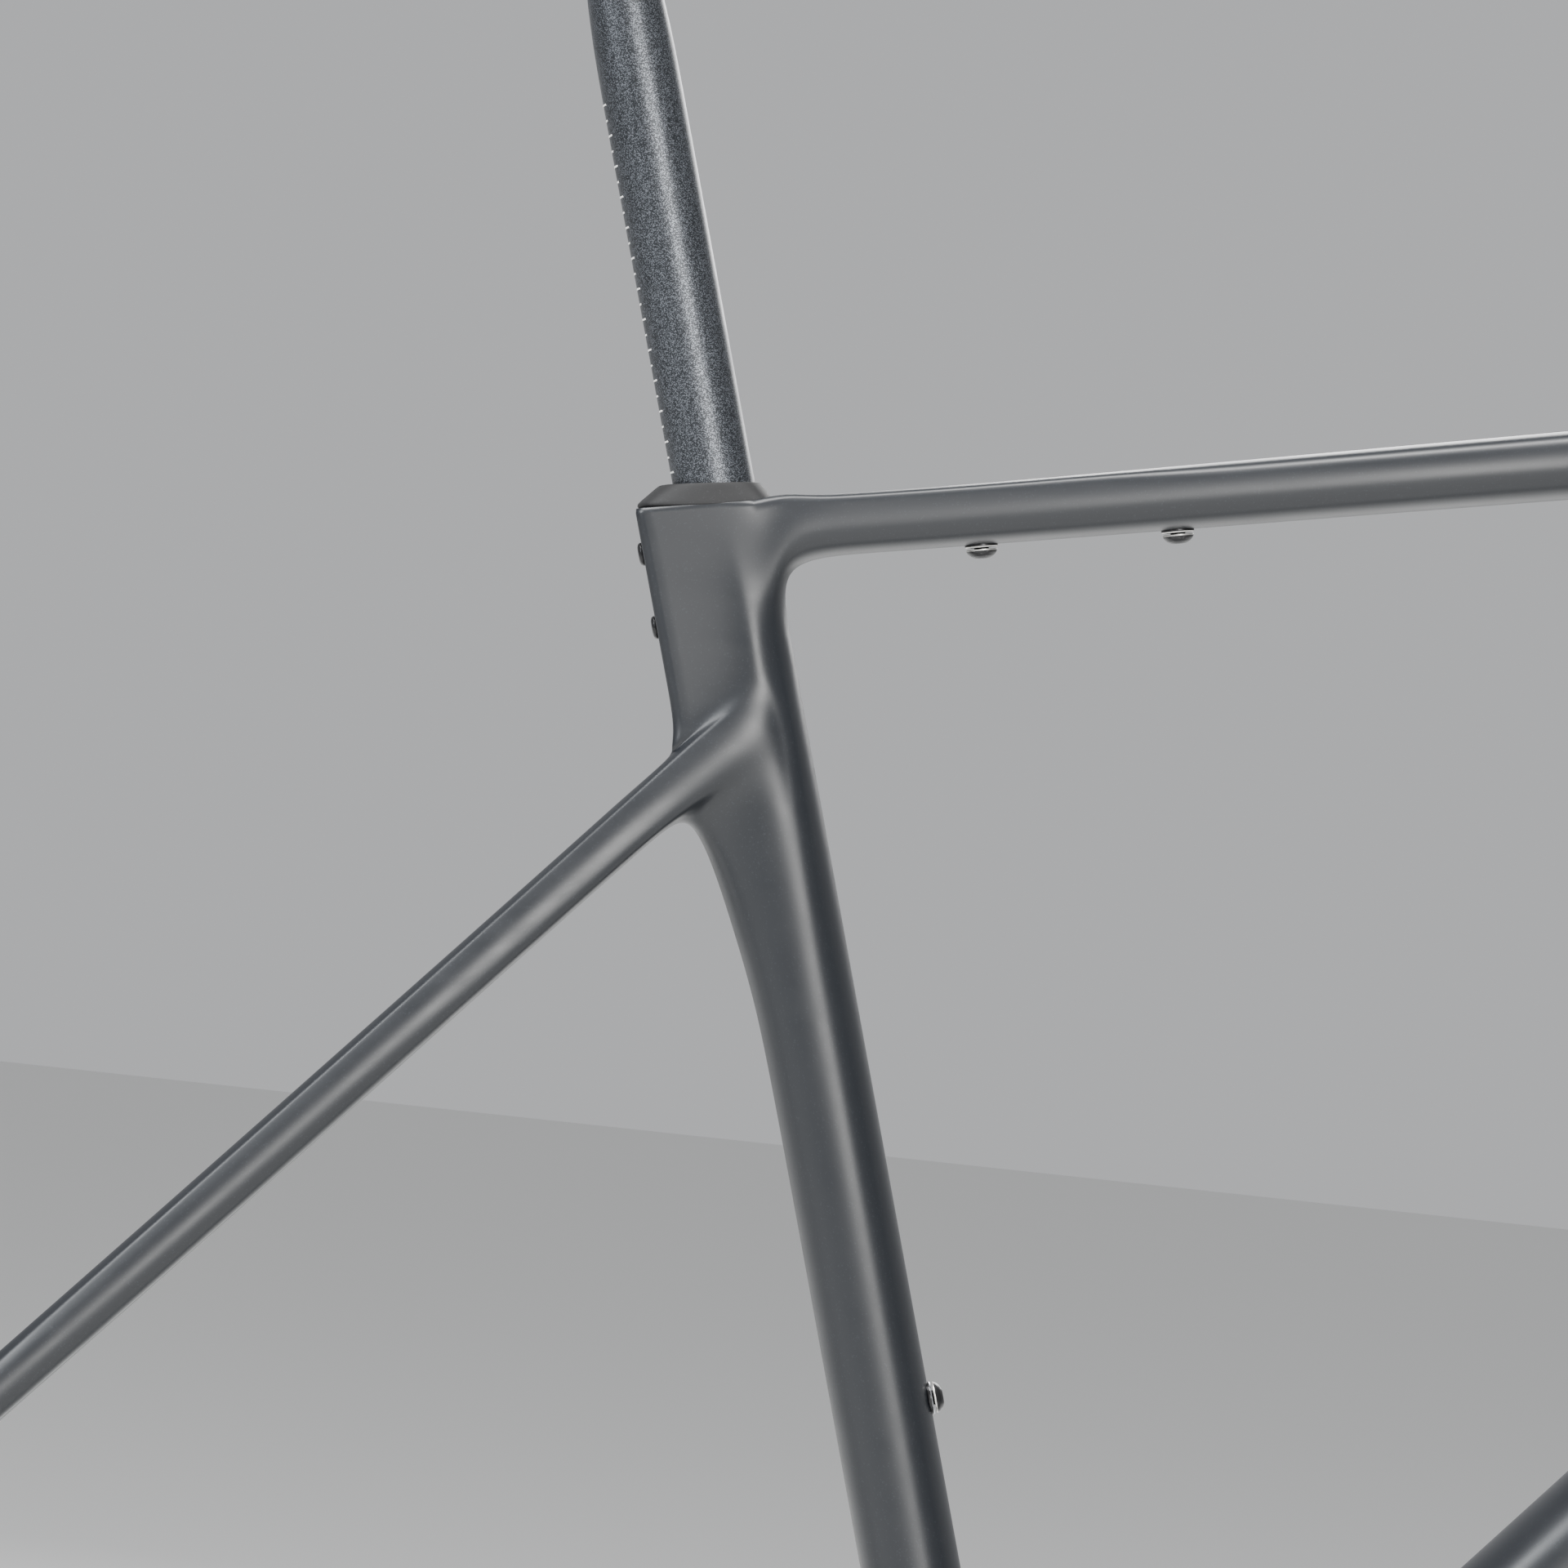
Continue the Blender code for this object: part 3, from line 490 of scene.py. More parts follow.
# ---------------------------------------------------------------- skin cage
@dataclass(frozen=True)
class Oval:
    """A tube section in millimetres.

    Args:
        up: reach towards the section's upper side.
        down: reach towards its lower side.
        side: half width.
        power: 2 is an ellipse, more is squarer.
    """

    up: float
    down: float
    side: float
    power: float = 2.4

    def points(self, count: int = RING) -> list[tuple[float, float]]:
        """Points round the section.

        Args:
            count: how many.

        Returns:
            Their (up, left) places, from the top over the left.
        """
        made = []
        for index in range(count):
            rise, reach = squared(math.tau * index / count, self.power)
            made.append((rise * (self.up if rise > 0.0 else self.down), reach * self.side))
        return made


def surface_to_control(points: Sequence[Vector], sharp: Iterable[int] = ()) -> list[Vector]:
    """Control points whose subdivided ring runs through the given points.

    Args:
        points: where the finished ring has to pass.
        sharp: indices that are creased along the tube, and stay where they are.

    Returns:
        The control ring.
    """
    made = [point.copy() for point in points]
    kept = set(sharp)
    count = len(points)
    for _ in range(FIT_PASSES):
        for index in range(count):
            if index in kept:
                continue
            before, after = made[index - 1], made[(index + 1) % count]
            reached = (before + made[index] * 4.0 + after) / 6.0
            made[index] = made[index] + (points[index] - reached) * FIT_RATE
    return made


@dataclass
class Cage:
    """A control mesh grown ring by ring, for a piece that is subdivided.

    Args:
        mesh: the bmesh, empty at first.
    """

    mesh: BMesh = field(default_factory=bmesh.new)

    def first_ring(self, points: Sequence[Vector]) -> list[BMVert]:
        """Start a tube with a closed ring of edges.

        Args:
            points: where the ring's vertices go.

        Returns:
            The ring.
        """
        made = bmesh.ops.create_circle(self.mesh, segments=len(points), radius=1.0)["verts"]
        made.sort(key=lambda vert: math.atan2(vert.co.y, vert.co.x) % math.tau)
        for vert, point in zip(made, points):
            vert.co = point
        return made

    def grow(self, ring: Sequence[BMVert], points: Sequence[Vector]) -> list[BMVert]:
        """Extrude a ring of edges to new places.

        Args:
            ring: the ring's vertices in order.
            points: where the new ring's vertices go, in the same order.

        Returns:
            The new ring.
        """
        edges = [self.mesh.edges.get((a, b)) for a, b in zip(ring, [*ring[1:], ring[0]])]
        geometry = bmesh.ops.extrude_edge_only(self.mesh, edges=edges)["geom"]
        fresh = {item for item in geometry if isinstance(item, BMVert)}
        made = []
        for vert, point in zip(ring, points):
            following = [e.other_vert(vert) for e in vert.link_edges if e.other_vert(vert) in fresh]
            following[0].co = point
            made.append(following[0])
        return made

    def extend(self, ring: Sequence[BMVert], layers: Iterable[Sequence[Vector]]) -> list[list[BMVert]]:
        """Grow a tube on from a ring through more layers.

        Args:
            ring: the ring or window rim that it starts from.
            layers: the points of each new ring in order.

        Returns:
            The new rings.
        """
        made = []
        for points in layers:
            ring = self.grow(ring, points)
            made.append(ring)
        return made

    def stack(self, layers: Iterable[Sequence[Vector]]) -> list[list[BMVert]]:
        """Start a tube with its first layer and grow it through the others.

        Args:
            layers: the points of each ring in order.

        Returns:
            The rings.
        """
        first, *others = layers
        ring = self.first_ring(first)
        return [ring, *self.extend(ring, others)]

    def window(self, lower: Sequence[BMVert], middle: Sequence[BMVert], upper: Sequence[BMVert],
               index: int, step: int) -> list[BMVert]:
        """Cut a two-by-two window in a tube.

        Args:
            lower: the ring at the window's lower side.
            middle: the ring through its middle.
            upper: the ring at its upper side.
            index: the ring position of its middle.
            step: the ring step towards its left side.

        Returns:
            The window's rim, from its top over its left side.
        """
        ahead, back = (index + step) % len(middle), (index - step) % len(middle)
        rim = [upper[index], upper[ahead], middle[ahead], lower[ahead],
               lower[index], lower[back], middle[back], upper[back]]
        bmesh.ops.delete(self.mesh, geom=[middle[index]], context='VERTS')
        return rim

    def join(self, ring: Sequence[BMVert], rim: Sequence[BMVert]) -> None:
        """Close a tube's last ring onto a window's rim, or a bore's onto the far end of its tube."""
        last = self.grow(ring, [vert.co.copy() for vert in rim])
        bmesh.ops.weld_verts(self.mesh, targetmap=dict(zip(last, rim)))

    def close(self, ring: Sequence[BMVert]) -> None:
        """Fill a tube's end with one face."""
        bmesh.ops.contextual_create(self.mesh, geom=list(ring))

    def crease(self, verts: Sequence[BMVert], amount: float, closed: bool = False) -> None:
        """Sharpen the edges along a chain of vertices.

        Args:
            verts: the chain.
            amount: how sharp, 0 to 1.
            closed: True where its last vertex joins its first.
        """
        layer = self.mesh.edges.layers.float.get("crease_edge")
        if layer is None:
            layer = self.mesh.edges.layers.float.new("crease_edge")
        pairs = zip(verts, [*verts[1:], verts[0]]) if closed else zip(verts, verts[1:])
        for first, second in pairs:
            edge = self.mesh.edges.get((first, second))
            if edge is not None:
                edge[layer] = amount


def section_frame(direction: Vector, upper: Vector) -> tuple[Vector, Vector]:
    """The up and left directions of a section square to a tube's direction.

    Args:
        direction: along the tube.
        upper: roughly towards the section's upper side.

    Returns:
        Unit vectors up and left.
    """
    along = direction.normalized()
    left = (LEFT - along * LEFT.dot(along)).normalized()
    rise = left.cross(along)
    return (rise if rise.dot(upper) > 0.0 else -rise), left


def tube_rings(route: Sequence[tuple[tuple[float, float, float], Oval]], upper: Vector,
               side: float = 1.0, sharp: Iterable[int] = ()) -> list[list[Vector]]:
    """Control rings along a tube.

    Args:
        route: centres in millimetres with their sections.
        upper: roughly towards the sections' upper side.
        side: 1 for a tube on the left, -1 for its mirror image on the right.
        sharp: ring positions creased along the tube.

    Returns:
        One list of points for each section.
    """
    centres = [Vector((x, y * side, z)) * MM for (x, y, z), _ in route]
    rings = []
    for index, (centre, (_, oval)) in enumerate(zip(centres, route)):
        direction = centres[min(index + 1, len(centres) - 1)] - centres[max(index - 1, 0)]
        rise, left = section_frame(direction, upper)
        points = [centre + (rise * u + left * w) * MM for u, w in oval.points()]
        rings.append(surface_to_control(points, sharp))
    return rings


# ---------------------------------------------------------------- painted monocoque
@dataclass
class FrameSkin:
    """The continuous painted surface of the tubes and stays, in millimetres.

    Args:
        layout: the frame's axes.
        shell_radius: outside radius of the bottom bracket shell.
        shell_bore: radius of the hole through it.
        shell_stations: its rings' distances to the left of the middle.
        shell_angles: where the points stand round it, in degrees up from the front.
        head_round: share of the head tube's depth and width at its rounded front corners.
        seat_front: the seat tube's front face, ahead of the seat axis.
        seat_shape: (ahead, side) shares of a plain seat tube ring, from its front over its side.
        down_tube: centres and sections from the shell to the head tube.
        top_tube: centres and sections from the seat tube to the head tube.
        chainstay: centres and sections of the left one, from the shell to the dropout.
        seatstay: centres and sections of the left one, from the seat tube to the dropout.
        top_tube_root: (along, ahead, side) points of the ring where the top tube leaves.
    """

    layout: Layout
    shell_radius: float = 25.0
    shell_bore: float = 17.6
    shell_stations: tuple[float, ...] = (-34.0, -24.0, 0.0, 24.0, 34.0)
    shell_angles: tuple[float, ...] = (15, 45, 75, 95, 115, 135, 165, 195, 225, 255, 285, 315, 345)
    head_round: float = 0.73
    seat_front: float = 15.4
    seat_shape: tuple = ((1, 0), (0.73, 0.74), (0.27, 1.0), (-0.32, 0.965), (-0.8, 0.65), (-1, 0))
    down_tube: tuple = (
        ((33, 0, 30.3), Oval(23, 22, 30)), ((60, 0, 60.3), Oval(23, 22, 29)),
        ((130, 0, 138.2), Oval(23, 23, 26.5)), ((250, 0, 271.8), Oval(24, 24, 25.5)),
        ((345, 0, 377.5), Oval(25, 25, 25)), ((381, 0, 417.6), Oval(26.5, 26.5, 24.8)),
    )
    top_tube: tuple = (
        ((-111, 0, 484.7), Oval(10.3, 9.4, 16.5, 2.9)), ((-94, 0, 487.9), Oval(10.0, 9.6, 16.6, 2.9)),
        ((-60, 0, 494.3), Oval(9.8, 9.8, 16.8, 2.8)), ((0, 0, 505.8), Oval(10.2, 10.2, 17.5, 2.7)),
        ((125, 0, 529.9), Oval(10.9, 10.9, 19, 2.6)), ((250, 0, 553.6), Oval(12, 12, 20.5, 2.5)),
        ((335, 0, 569.9), Oval(13.2, 13.2, 22, 2.4)), ((352, 0, 573.1), Oval(13.5, 13.5, 22.4, 2.4)),
    )
    chainstay: tuple = (
        ((-44, 27.4, 8.3), Oval(18, 17, 10.3)), ((-78, 33.5, 14), Oval(16.5, 15.5, 9.8)),
        ((-115, 37, 20.5), Oval(14.5, 14, 9.6)), ((-200, 47.5, 35.5), Oval(12.5, 12.5, 9.3)),
        ((-300, 61, 52.5), Oval(11.2, 11.2, 8.5)), ((-360, 70, 62.7), Oval(10.6, 10.6, 7.6)),
        ((-388, 74.7, 67.4), Oval(10.6, 10.6, 4.9)), ((-395, 75, 68.6), Oval(10.2, 10.2, 3.9)),
        ((-406, 75, 70.4), Oval(8.8, 8.8, 3.4)),
    )
    seatstay: tuple = (
        ((-155.2, 14.9, 389.5), Oval(8.1, 8.1, 6.6, 3.2)), ((-167.3, 18.7, 376.2), Oval(7.9, 8.1, 6.3, 3.0)),
        ((-196.1, 26.3, 344.2), Oval(7.9, 8.0, 6.2, 2.8)), ((-232.2, 33.6, 304.2), Oval(8.0, 8.1, 6.4, 2.7)),
        ((-286, 44, 244.6), Oval(8.2, 8.2, 6.6, 2.6)), ((-350, 58, 174.8), Oval(8.1, 8.1, 6.8)),
        ((-395, 70.4, 125.8), Oval(7.8, 7.8, 6.2)), ((-407.5, 74.4, 112.2), Oval(7.9, 7.9, 4.6)),
        ((-413, 75, 106.0), Oval(7.6, 7.6, 3.8)), ((-422, 75, 96.4), Oval(6.0, 6.0, 3.4)),
    )
    top_tube_root: tuple = ((507.4, 22.5, 0), (506.6, 22.0, 12.2), (497, 20.4, 16.6), (488.0, 18.6, 12.8),
                            (485.2, 17.4, 0))

    def seat_ring(self, *points: tuple[float, float, float], sharp: Iterable[int] = ()) -> list[Vector]:
        """A ring whose right half mirrors its left half.

        Args:
            points: (along, ahead, side) in millimetres, from the middle over the left side to the
                middle again. The seat tube has six: front, corner, side, side behind, rear corner, rear.
            sharp: ring positions creased along the tube.

        Returns:
            The control ring, in the same order.
        """
        mirrored = [(along, ahead, -side) for along, ahead, side in points[-2:0:-1]]
        surface = [self.layout.seat_point(*point) for point in [*points, *mirrored]]
        return surface_to_control(surface, sharp)

    def plain_seat_ring(self, along: float, rear: float, side: float) -> list[Vector]:
        """A seat tube ring square to the axis, by its rear face and half width."""
        middle, half = (self.seat_front + rear) / 2.0, (self.seat_front - rear) / 2.0
        return self.seat_ring(*((along, middle + u * half, w * side) for u, w in self.seat_shape))

    def build_shell(self, cage: Cage) -> dict[str, list[BMVert]]:
        """Grow the bottom bracket shell and cut the tubes' windows in it.

        Args:
            cage: the control mesh.

        Returns:
            The rims of the windows by tube name.
        """
        right_end, right, middle, left, left_end = cage.stack(map(self.shell_ring, self.shell_stations))
        share = self.shell_bore / self.shell_radius
        inwards = Vector((share, 1.0, share))
        bore = cage.extend(left_end, [[vert.co * inwards for vert in ring] for ring in (left_end, right_end)])
        cage.join(bore[-1], right_end)
        for ring in (left_end, right_end, *bore):
            cage.crease(ring, 0.9, closed=True)
        return {
            "down_tube": self.shell_window(cage, right, middle, left, 1, 1),
            "seat_tube": self.shell_window(cage, right, middle, left, 3, -1, 2),
            "chainstay_left": self.shell_window(cage, middle, left, left_end, 6, -1),
            "chainstay_right": self.shell_window(cage, right_end, right, middle, 6, -1),
        }

    def shell_ring(self, station: float) -> list[Vector]:
        """A ring of the shell.

        Args:
            station: its distance to the left of the middle in millimetres.

        Returns:
            The control ring.
        """
        points = []
        for angle in self.shell_angles:
            turn = math.radians(angle)
            reach = self.shell_radius * MM
            points.append(Vector((math.cos(turn) * reach, station * MM, math.sin(turn) * reach)))
        return surface_to_control(points)

    def shell_window(self, cage: Cage, right: Sequence[BMVert], middle: Sequence[BMVert],
                     left: Sequence[BMVert], index: int, rise: int, depth: int = 1) -> list[BMVert]:
        """Cut a window in the shell, whose rings run across the tubes.

        Args:
            cage: the control mesh.
            right: the ring at the window's right side.
            middle: the ring through its middle.
            left: the ring at its left side.
            index: the first ring position inside it, counted from the tube's upper side.
            rise: the ring step towards the tube's upper side.
            depth: how many ring positions lie inside it.

        Returns:
            The rim, from the upper side over the left side.
        """
        high, low = index + rise, index - rise * depth
        inside = [index - rise * step for step in range(depth)]
        rim = [middle[high], left[high], *(left[at] for at in inside), left[low],
               middle[low], right[low], *(right[at] for at in reversed(inside)), right[high]]
        bmesh.ops.delete(cage.mesh, geom=[middle[at] for at in inside], context='VERTS')
        return rim

    def build_seat_tube(self, cage: Cage, rim: Sequence[BMVert]) -> dict[str, list[BMVert]]:
        """Grow the seat tube up to its top face, with its windows and the post's socket.

        Args:
            cage: the control mesh.
            rim: the window in the shell that it grows from.

        Returns:
            The rims of the top tube's and the seatstays' windows.
        """
        rear = (4, 6)
        rings = [
            self.plain_seat_ring(58, -17.5, 25.0), self.plain_seat_ring(95, -16.8, 19.8),
            self.plain_seat_ring(150, -16.4, 17.0), self.plain_seat_ring(240, -16.4, 16.2),
            self.plain_seat_ring(325, -16.4, 16.0), self.plain_seat_ring(352, -17.2, 16.1),
            self.seat_ring((376, 15.4, 0), (376, 11.0, 12.1), (376, 4.2, 16.3), (376, -5.6, 15.8),
                           (376, -15.8, 10.6), (376, -19.9, 0)),
            self.seat_ring((397, 15.4, 0), (397, 11.1, 12.2), (397, 4.6, 16.3), (397, -5.4, 16.1),
                           (397, -17.6, 11.0), (397, -22.6, 0)),
            self.seat_ring((421, 15.4, 0), (421, 11.5, 12.4), (422, 6.2, 16.0), (424, -3.0, 17.0),
                           (414, -22.5, 12.0), (411, -26.6, 0)),
            self.seat_ring((433, 15.4, 0), (433, 11.6, 12.4), (434, 6.4, 16.0), (435, -4.1, 17.3),
                           (427, -27.5, 9.0), (424, -29.0, 0)),
            self.seat_ring((446, 15.4, 0), (446, 11.4, 12.4), (445.6, 5.6, 16.2), (444.8, -5.0, 17.3),
                           (434.4, -25.2, 14.4), (432, -26.6, 0)),
            self.seat_ring((453, 15.4, 0), (453, 11.0, 12.2), (452, 3.7, 16.5), (448.8, -4.8, 16.0),
                           (438.0, -26.3, 15.2), (442, -26.3, 0), sharp=rear),
            self.seat_ring((462, 15.4, 0), (462, 11.0, 12.4), (462, 3.6, 16.5), (460, -4.4, 15.8),
                           (456, -26.3, 15.5), (458, -26.3, 0), sharp=rear),
            self.seat_ring((471.5, 15.3, 0), (471.5, 11.0, 13.0), (475, 3.6, 16.4), (476, -4.4, 15.8),
                           (478, -26.3, 15.6), (478, -26.3, 0), sharp=rear),
            self.seat_ring((488, 15.6, 0), (488, 11.0, 16.1), (491, 3.6, 16.1), (494, -4.4, 16.0),
                           (497, -26.3, 15.8), (497, -26.3, 0), sharp=(1, *rear, 9)),
            self.seat_ring((508.2, 16.0, 0), (508.3, 10.8, 15.9), (509.1, 3.5, 16.0), (510.0, -5.0, 16.0),
                           (512.6, -26.3, 15.9), (512.8, -26.3, 0), sharp=range(SEAT_RING)),
        ]
        grown = cage.extend(rim, rings)
        stay_low, stay_middle, stay_high = grown[8:11]
        tube_low, tube_middle, top = grown[13:16]
        for index in rear:
            cage.crease([ring[index] for ring in grown[10:16]], 0.8)
        cage.crease(top[1:], 0.72)
        socket = cage.grow(top, self.socket_ring(508.6, -0.13))
        cage.crease(socket, 0.8, closed=True)
        depths = (490.0, 440.0, 380.0, 302.0)
        cage.close(cage.extend(socket, [self.socket_ring(along, 0.0) for along in depths])[-1])
        return {
            "top_tube": cage.window(tube_low, tube_middle, top, 0, 1),
            "seatstay_left": cage.window(stay_low, stay_middle, stay_high, 4, -1),
            "seatstay_right": cage.window(stay_low, stay_middle, stay_high, 6, -1),
        }

    def socket_ring(self, along: float, lean: float) -> list[Vector]:
        """A ring of the hole that the seatpost slides in.

        Args:
            along: its height on the seat axis in millimetres.
            lean: how much it rises for each millimetre ahead.

        Returns:
            The control ring.
        """
        points = Oval(13.6, 13.9, 14.3, 2.3).points(SEAT_RING)
        surface = [self.layout.seat_point(along + u * lean, u, w) for u, w in points]
        return surface_to_control(surface)

    def build_head_tube(self, cage: Cage) -> dict[str, list[BMVert]]:
        """Grow the head tube with its bore and the windows of the two tubes.

        Args:
            cage: the control mesh.

        Returns:
            The rims of the windows.
        """
        stations = ((0, 29.5, 29.5, 20.5, 20.5), (4, 29.3, 29.3, 19.0, 22.0), (12, 29, 29, 16, 24),
                    (42, 28.4, 26.5, 15, 23.4), (72, 27.8, 25.2, 16, 22.5), (112, 27, 24.5, 17.5, 20.5),
                    (161, 26.6, 24.8, 15.5, 21.4), (175, 26.5, 25, 15.0, 21.8), (188, 26.4, 25.2, 16, 21.2),
                    (193.2, 26.2, 25.4, 17.6, 19.2), (195, 25.8, 25.2, 18.0, 18.0))
        rings = cage.stack(self.head_ring(*station) for station in stations)
        low, high = rings[0], rings[-1]
        bore = high
        for height, radius in ((195, 21.3), (187, 21.3), (186.8, 19.0), (9.0, 21.5), (8.6, 26.3), (0, 26.3)):
            circle = Oval(radius, radius, radius, 2.0).points()
            points = [self.layout.head_point(height, u, w) for u, w in circle]
            bore = cage.grow(bore, surface_to_control(points))
            cage.crease(bore, 0.9, closed=True)
        cage.join(bore, low)
        for ring in (low, high):
            cage.crease(ring, 0.75, closed=True)
        return {"down_tube": cage.window(*rings[2:5], 4, -1), "top_tube": cage.window(*rings[6:9], 4, -1)}

    def head_ring(self, height: float, depth: float, side: float, corner: float,
                  corner_side: float) -> list[Vector]:
        """A ring of the head tube.

        Args:
            height: above its lower end, in millimetres.
            depth: reach ahead of and behind the steering axis.
            side: half width.
            corner: how far behind the axis the rear corners are.
            corner_side: half width at the rear corners.

        Returns:
            The control ring, from the front over the left side.
        """
        round_depth, round_side = depth * self.head_round, side * self.head_round
        return surface_to_control([self.layout.head_point(height, p, w) for p, w in (
            (depth, 0), (round_depth, round_side), (1.0, side), (-corner, corner_side),
            (-depth, 0), (-corner, -corner_side), (1.0, -side), (round_depth, -round_side))])

    def build_cage(self) -> BMesh:
        """Grow the whole frame.

        Returns:
            Its control mesh.
        """
        cage = Cage()
        shell = self.build_shell(cage)
        seat = self.build_seat_tube(cage, shell["seat_tube"])
        head = self.build_head_tube(cage)
        down = cage.extend(shell["down_tube"], tube_rings(self.down_tube, UP))
        cage.join(down[-1], head["down_tube"])
        root = self.seat_ring(*self.top_tube_root)
        top = cage.extend(seat["top_tube"], [root, *tube_rings(self.top_tube, UP)])
        cage.join(top[-1], head["top_tube"])
        for index in (1, 7):
            cage.crease([seat["top_tube"][index]] + [ring[index] for ring in top[:5]], 0.45)
            cage.crease([ring[index] for ring in top[4:7]], 0.3)
        for name, side, outer in (("left", 1.0, (1, 3)), ("right", -1.0, (7, 5))):
            chain = cage.extend(shell["chainstay_" + name], tube_rings(self.chainstay, UP, side))
            cage.close(chain[-1])
            rim = seat["seatstay_" + name]
            stay = cage.extend(rim, tube_rings(self.seatstay, UP, side, outer[:1]))
            cage.close(stay[-1])
            cage.crease([rim[outer[0]]] + [ring[outer[0]] for ring in stay[:4]], 0.88)
            cage.crease([ring[outer[0]] for ring in stay[3:6]], 0.6)
            cage.crease([rim[outer[1]]] + [ring[outer[1]] for ring in stay[:4]], 0.25)
        return face_outwards(cage.mesh)

    def build(self) -> bpy.types.Object:
        """Make the skin and let it stand for the painted CAD nodes.

        Returns:
            The skin.
        """
        skin = make_object(self.build_cage(), "frame_skin", [Finishes.PAINT], levels=GROWN_LEVELS)
        return fit(skin, "frame_body", "carbon_satin", "head_tube", "top_tube", "down_tube",
                   "seat_tube", "seat_cluster", "bottom_bracket_shell", "chainstay_left",
                   "chainstay_right", "seatstay_left", "seatstay_right")


# ---------------------------------------------------------------- turned pieces
@dataclass
class Turned:
    """A piece turned on a lathe, its corners rounded.

    Args:
        name: the piece's name.
        profile: (radius, height) pairs in millimetres, in order round the section.
        origin: a point on its axis, which the heights count from.
        direction: the axis.
        finish: its finish.
        ring: True for a closed section clear of the axis.
        edge: rounding of the profile's corners in millimetres.
        steps: facets round it.
        across: the direction the first facet leans to.
        socket: corner radius of a hexagonal socket in millimetres, or 0.
        notches: how many tool notches run round it.
        notch_depth: their depth in millimetres.
        notch_band: lowest and highest height that the notches cut, in millimetres.
        band: lowest and highest height and radius that take the second finish.
        second: the second finish.
    """

    name: str
    profile: Sequence[tuple[float, float]]
    origin: Vector
    direction: Vector
    finish: Finish
    ring: bool = False
    edge: float = 0.25
    steps: int = 72
    across: Vector = field(default_factory=lambda: UP.copy())
    socket: float = 0.0
    notches: int = 0
    notch_depth: float = 0.0
    notch_band: tuple[float, float] = (0.0, 0.0)
    band: Optional[tuple[float, float, float, float]] = None
    second: Optional[Finish] = None

    def shape(self) -> BMesh:
        """Spin the rounded profile about Z and form its socket and notches.

        Returns:
            The shape, in millimetres.
        """
        mesh = bmesh.new()
        corners = [mesh.verts.new((radius, 0.0, height)) for radius, height in self.profile]
        pairs = list(zip(corners, corners[1:])) + ([(corners[-1], corners[0])] if self.ring else [])
        for pair in pairs:
            mesh.edges.new(pair)
        rounded = [vert for vert in corners if vert.co.x > 0.01 and len(vert.link_edges) == 2]
        bmesh.ops.bevel(mesh, geom=rounded, offset=self.edge, offset_type='OFFSET', segments=2,
                        profile=0.5, affect='VERTICES', clamp_overlap=True, material=-1)
        bmesh.ops.spin(mesh, geom=mesh.verts[:] + mesh.edges[:], cent=(0, 0, 0), axis=(0, 0, 1),
                       angle=math.tau, steps=self.steps, use_merge=True)
        bmesh.ops.remove_doubles(mesh, verts=mesh.verts, dist=0.004)
        for vert in face_outwards(mesh).verts:
            self.form(vert)
        if self.band:
            low, high, inner, outer = self.band
            for face in mesh.faces:
                centre = face.calc_center_median()
                reach = math.hypot(centre.x, centre.y)
                face.material_index = int(low <= centre.z <= high and inner <= reach <= outer)
        return mesh

    def form(self, vert: BMVert) -> None:
        """Pull one point onto the hexagonal socket or into a tool notch.

        Args:
            vert: the point.
        """
        reach, turn = math.hypot(vert.co.x, vert.co.y), math.atan2(vert.co.y, vert.co.x) % math.tau
        factor = 1.0
        if self.socket and 0.05 < reach < self.socket + self.edge * 1.2:
            sixth = math.tau / 6.0
            factor = math.cos(sixth / 2.0) / math.cos(turn % sixth - sixth / 2.0)
        low, high = self.notch_band
        if self.notches and low <= vert.co.z <= high and reach > self.socket + self.notch_depth:
            wave = math.cos(turn * self.notches)
            factor = 1.0 - self.notch_depth / reach if wave > 0.25 and self.is_outer(vert) else 1.0
        vert.co.x *= factor
        vert.co.y *= factor

    def is_outer(self, vert: BMVert) -> bool:
        """Whether a point lies on the piece's largest radius."""
        widest = max(radius for radius, _ in self.profile)
        return math.hypot(vert.co.x, vert.co.y) > widest - self.notch_depth

    def build(self) -> bpy.types.Object:
        """Put the turned shape in its place.

        Returns:
            The piece.
        """
        mesh = self.shape()
        bmesh.ops.scale(mesh, verts=mesh.verts, vec=(MM, MM, MM))
        bmesh.ops.transform(mesh, matrix=axis_frame(self.origin, self.direction, self.across),
                            verts=mesh.verts)
        finishes = [self.finish] + ([self.second] if self.second else [])
        return make_object(mesh, self.name, finishes)

    def mount(self, body: str, slot: str, *nodes: str) -> None:
        """Build the piece and fit it to its body and CAD nodes."""
        fit(self.build(), body, slot, *nodes)


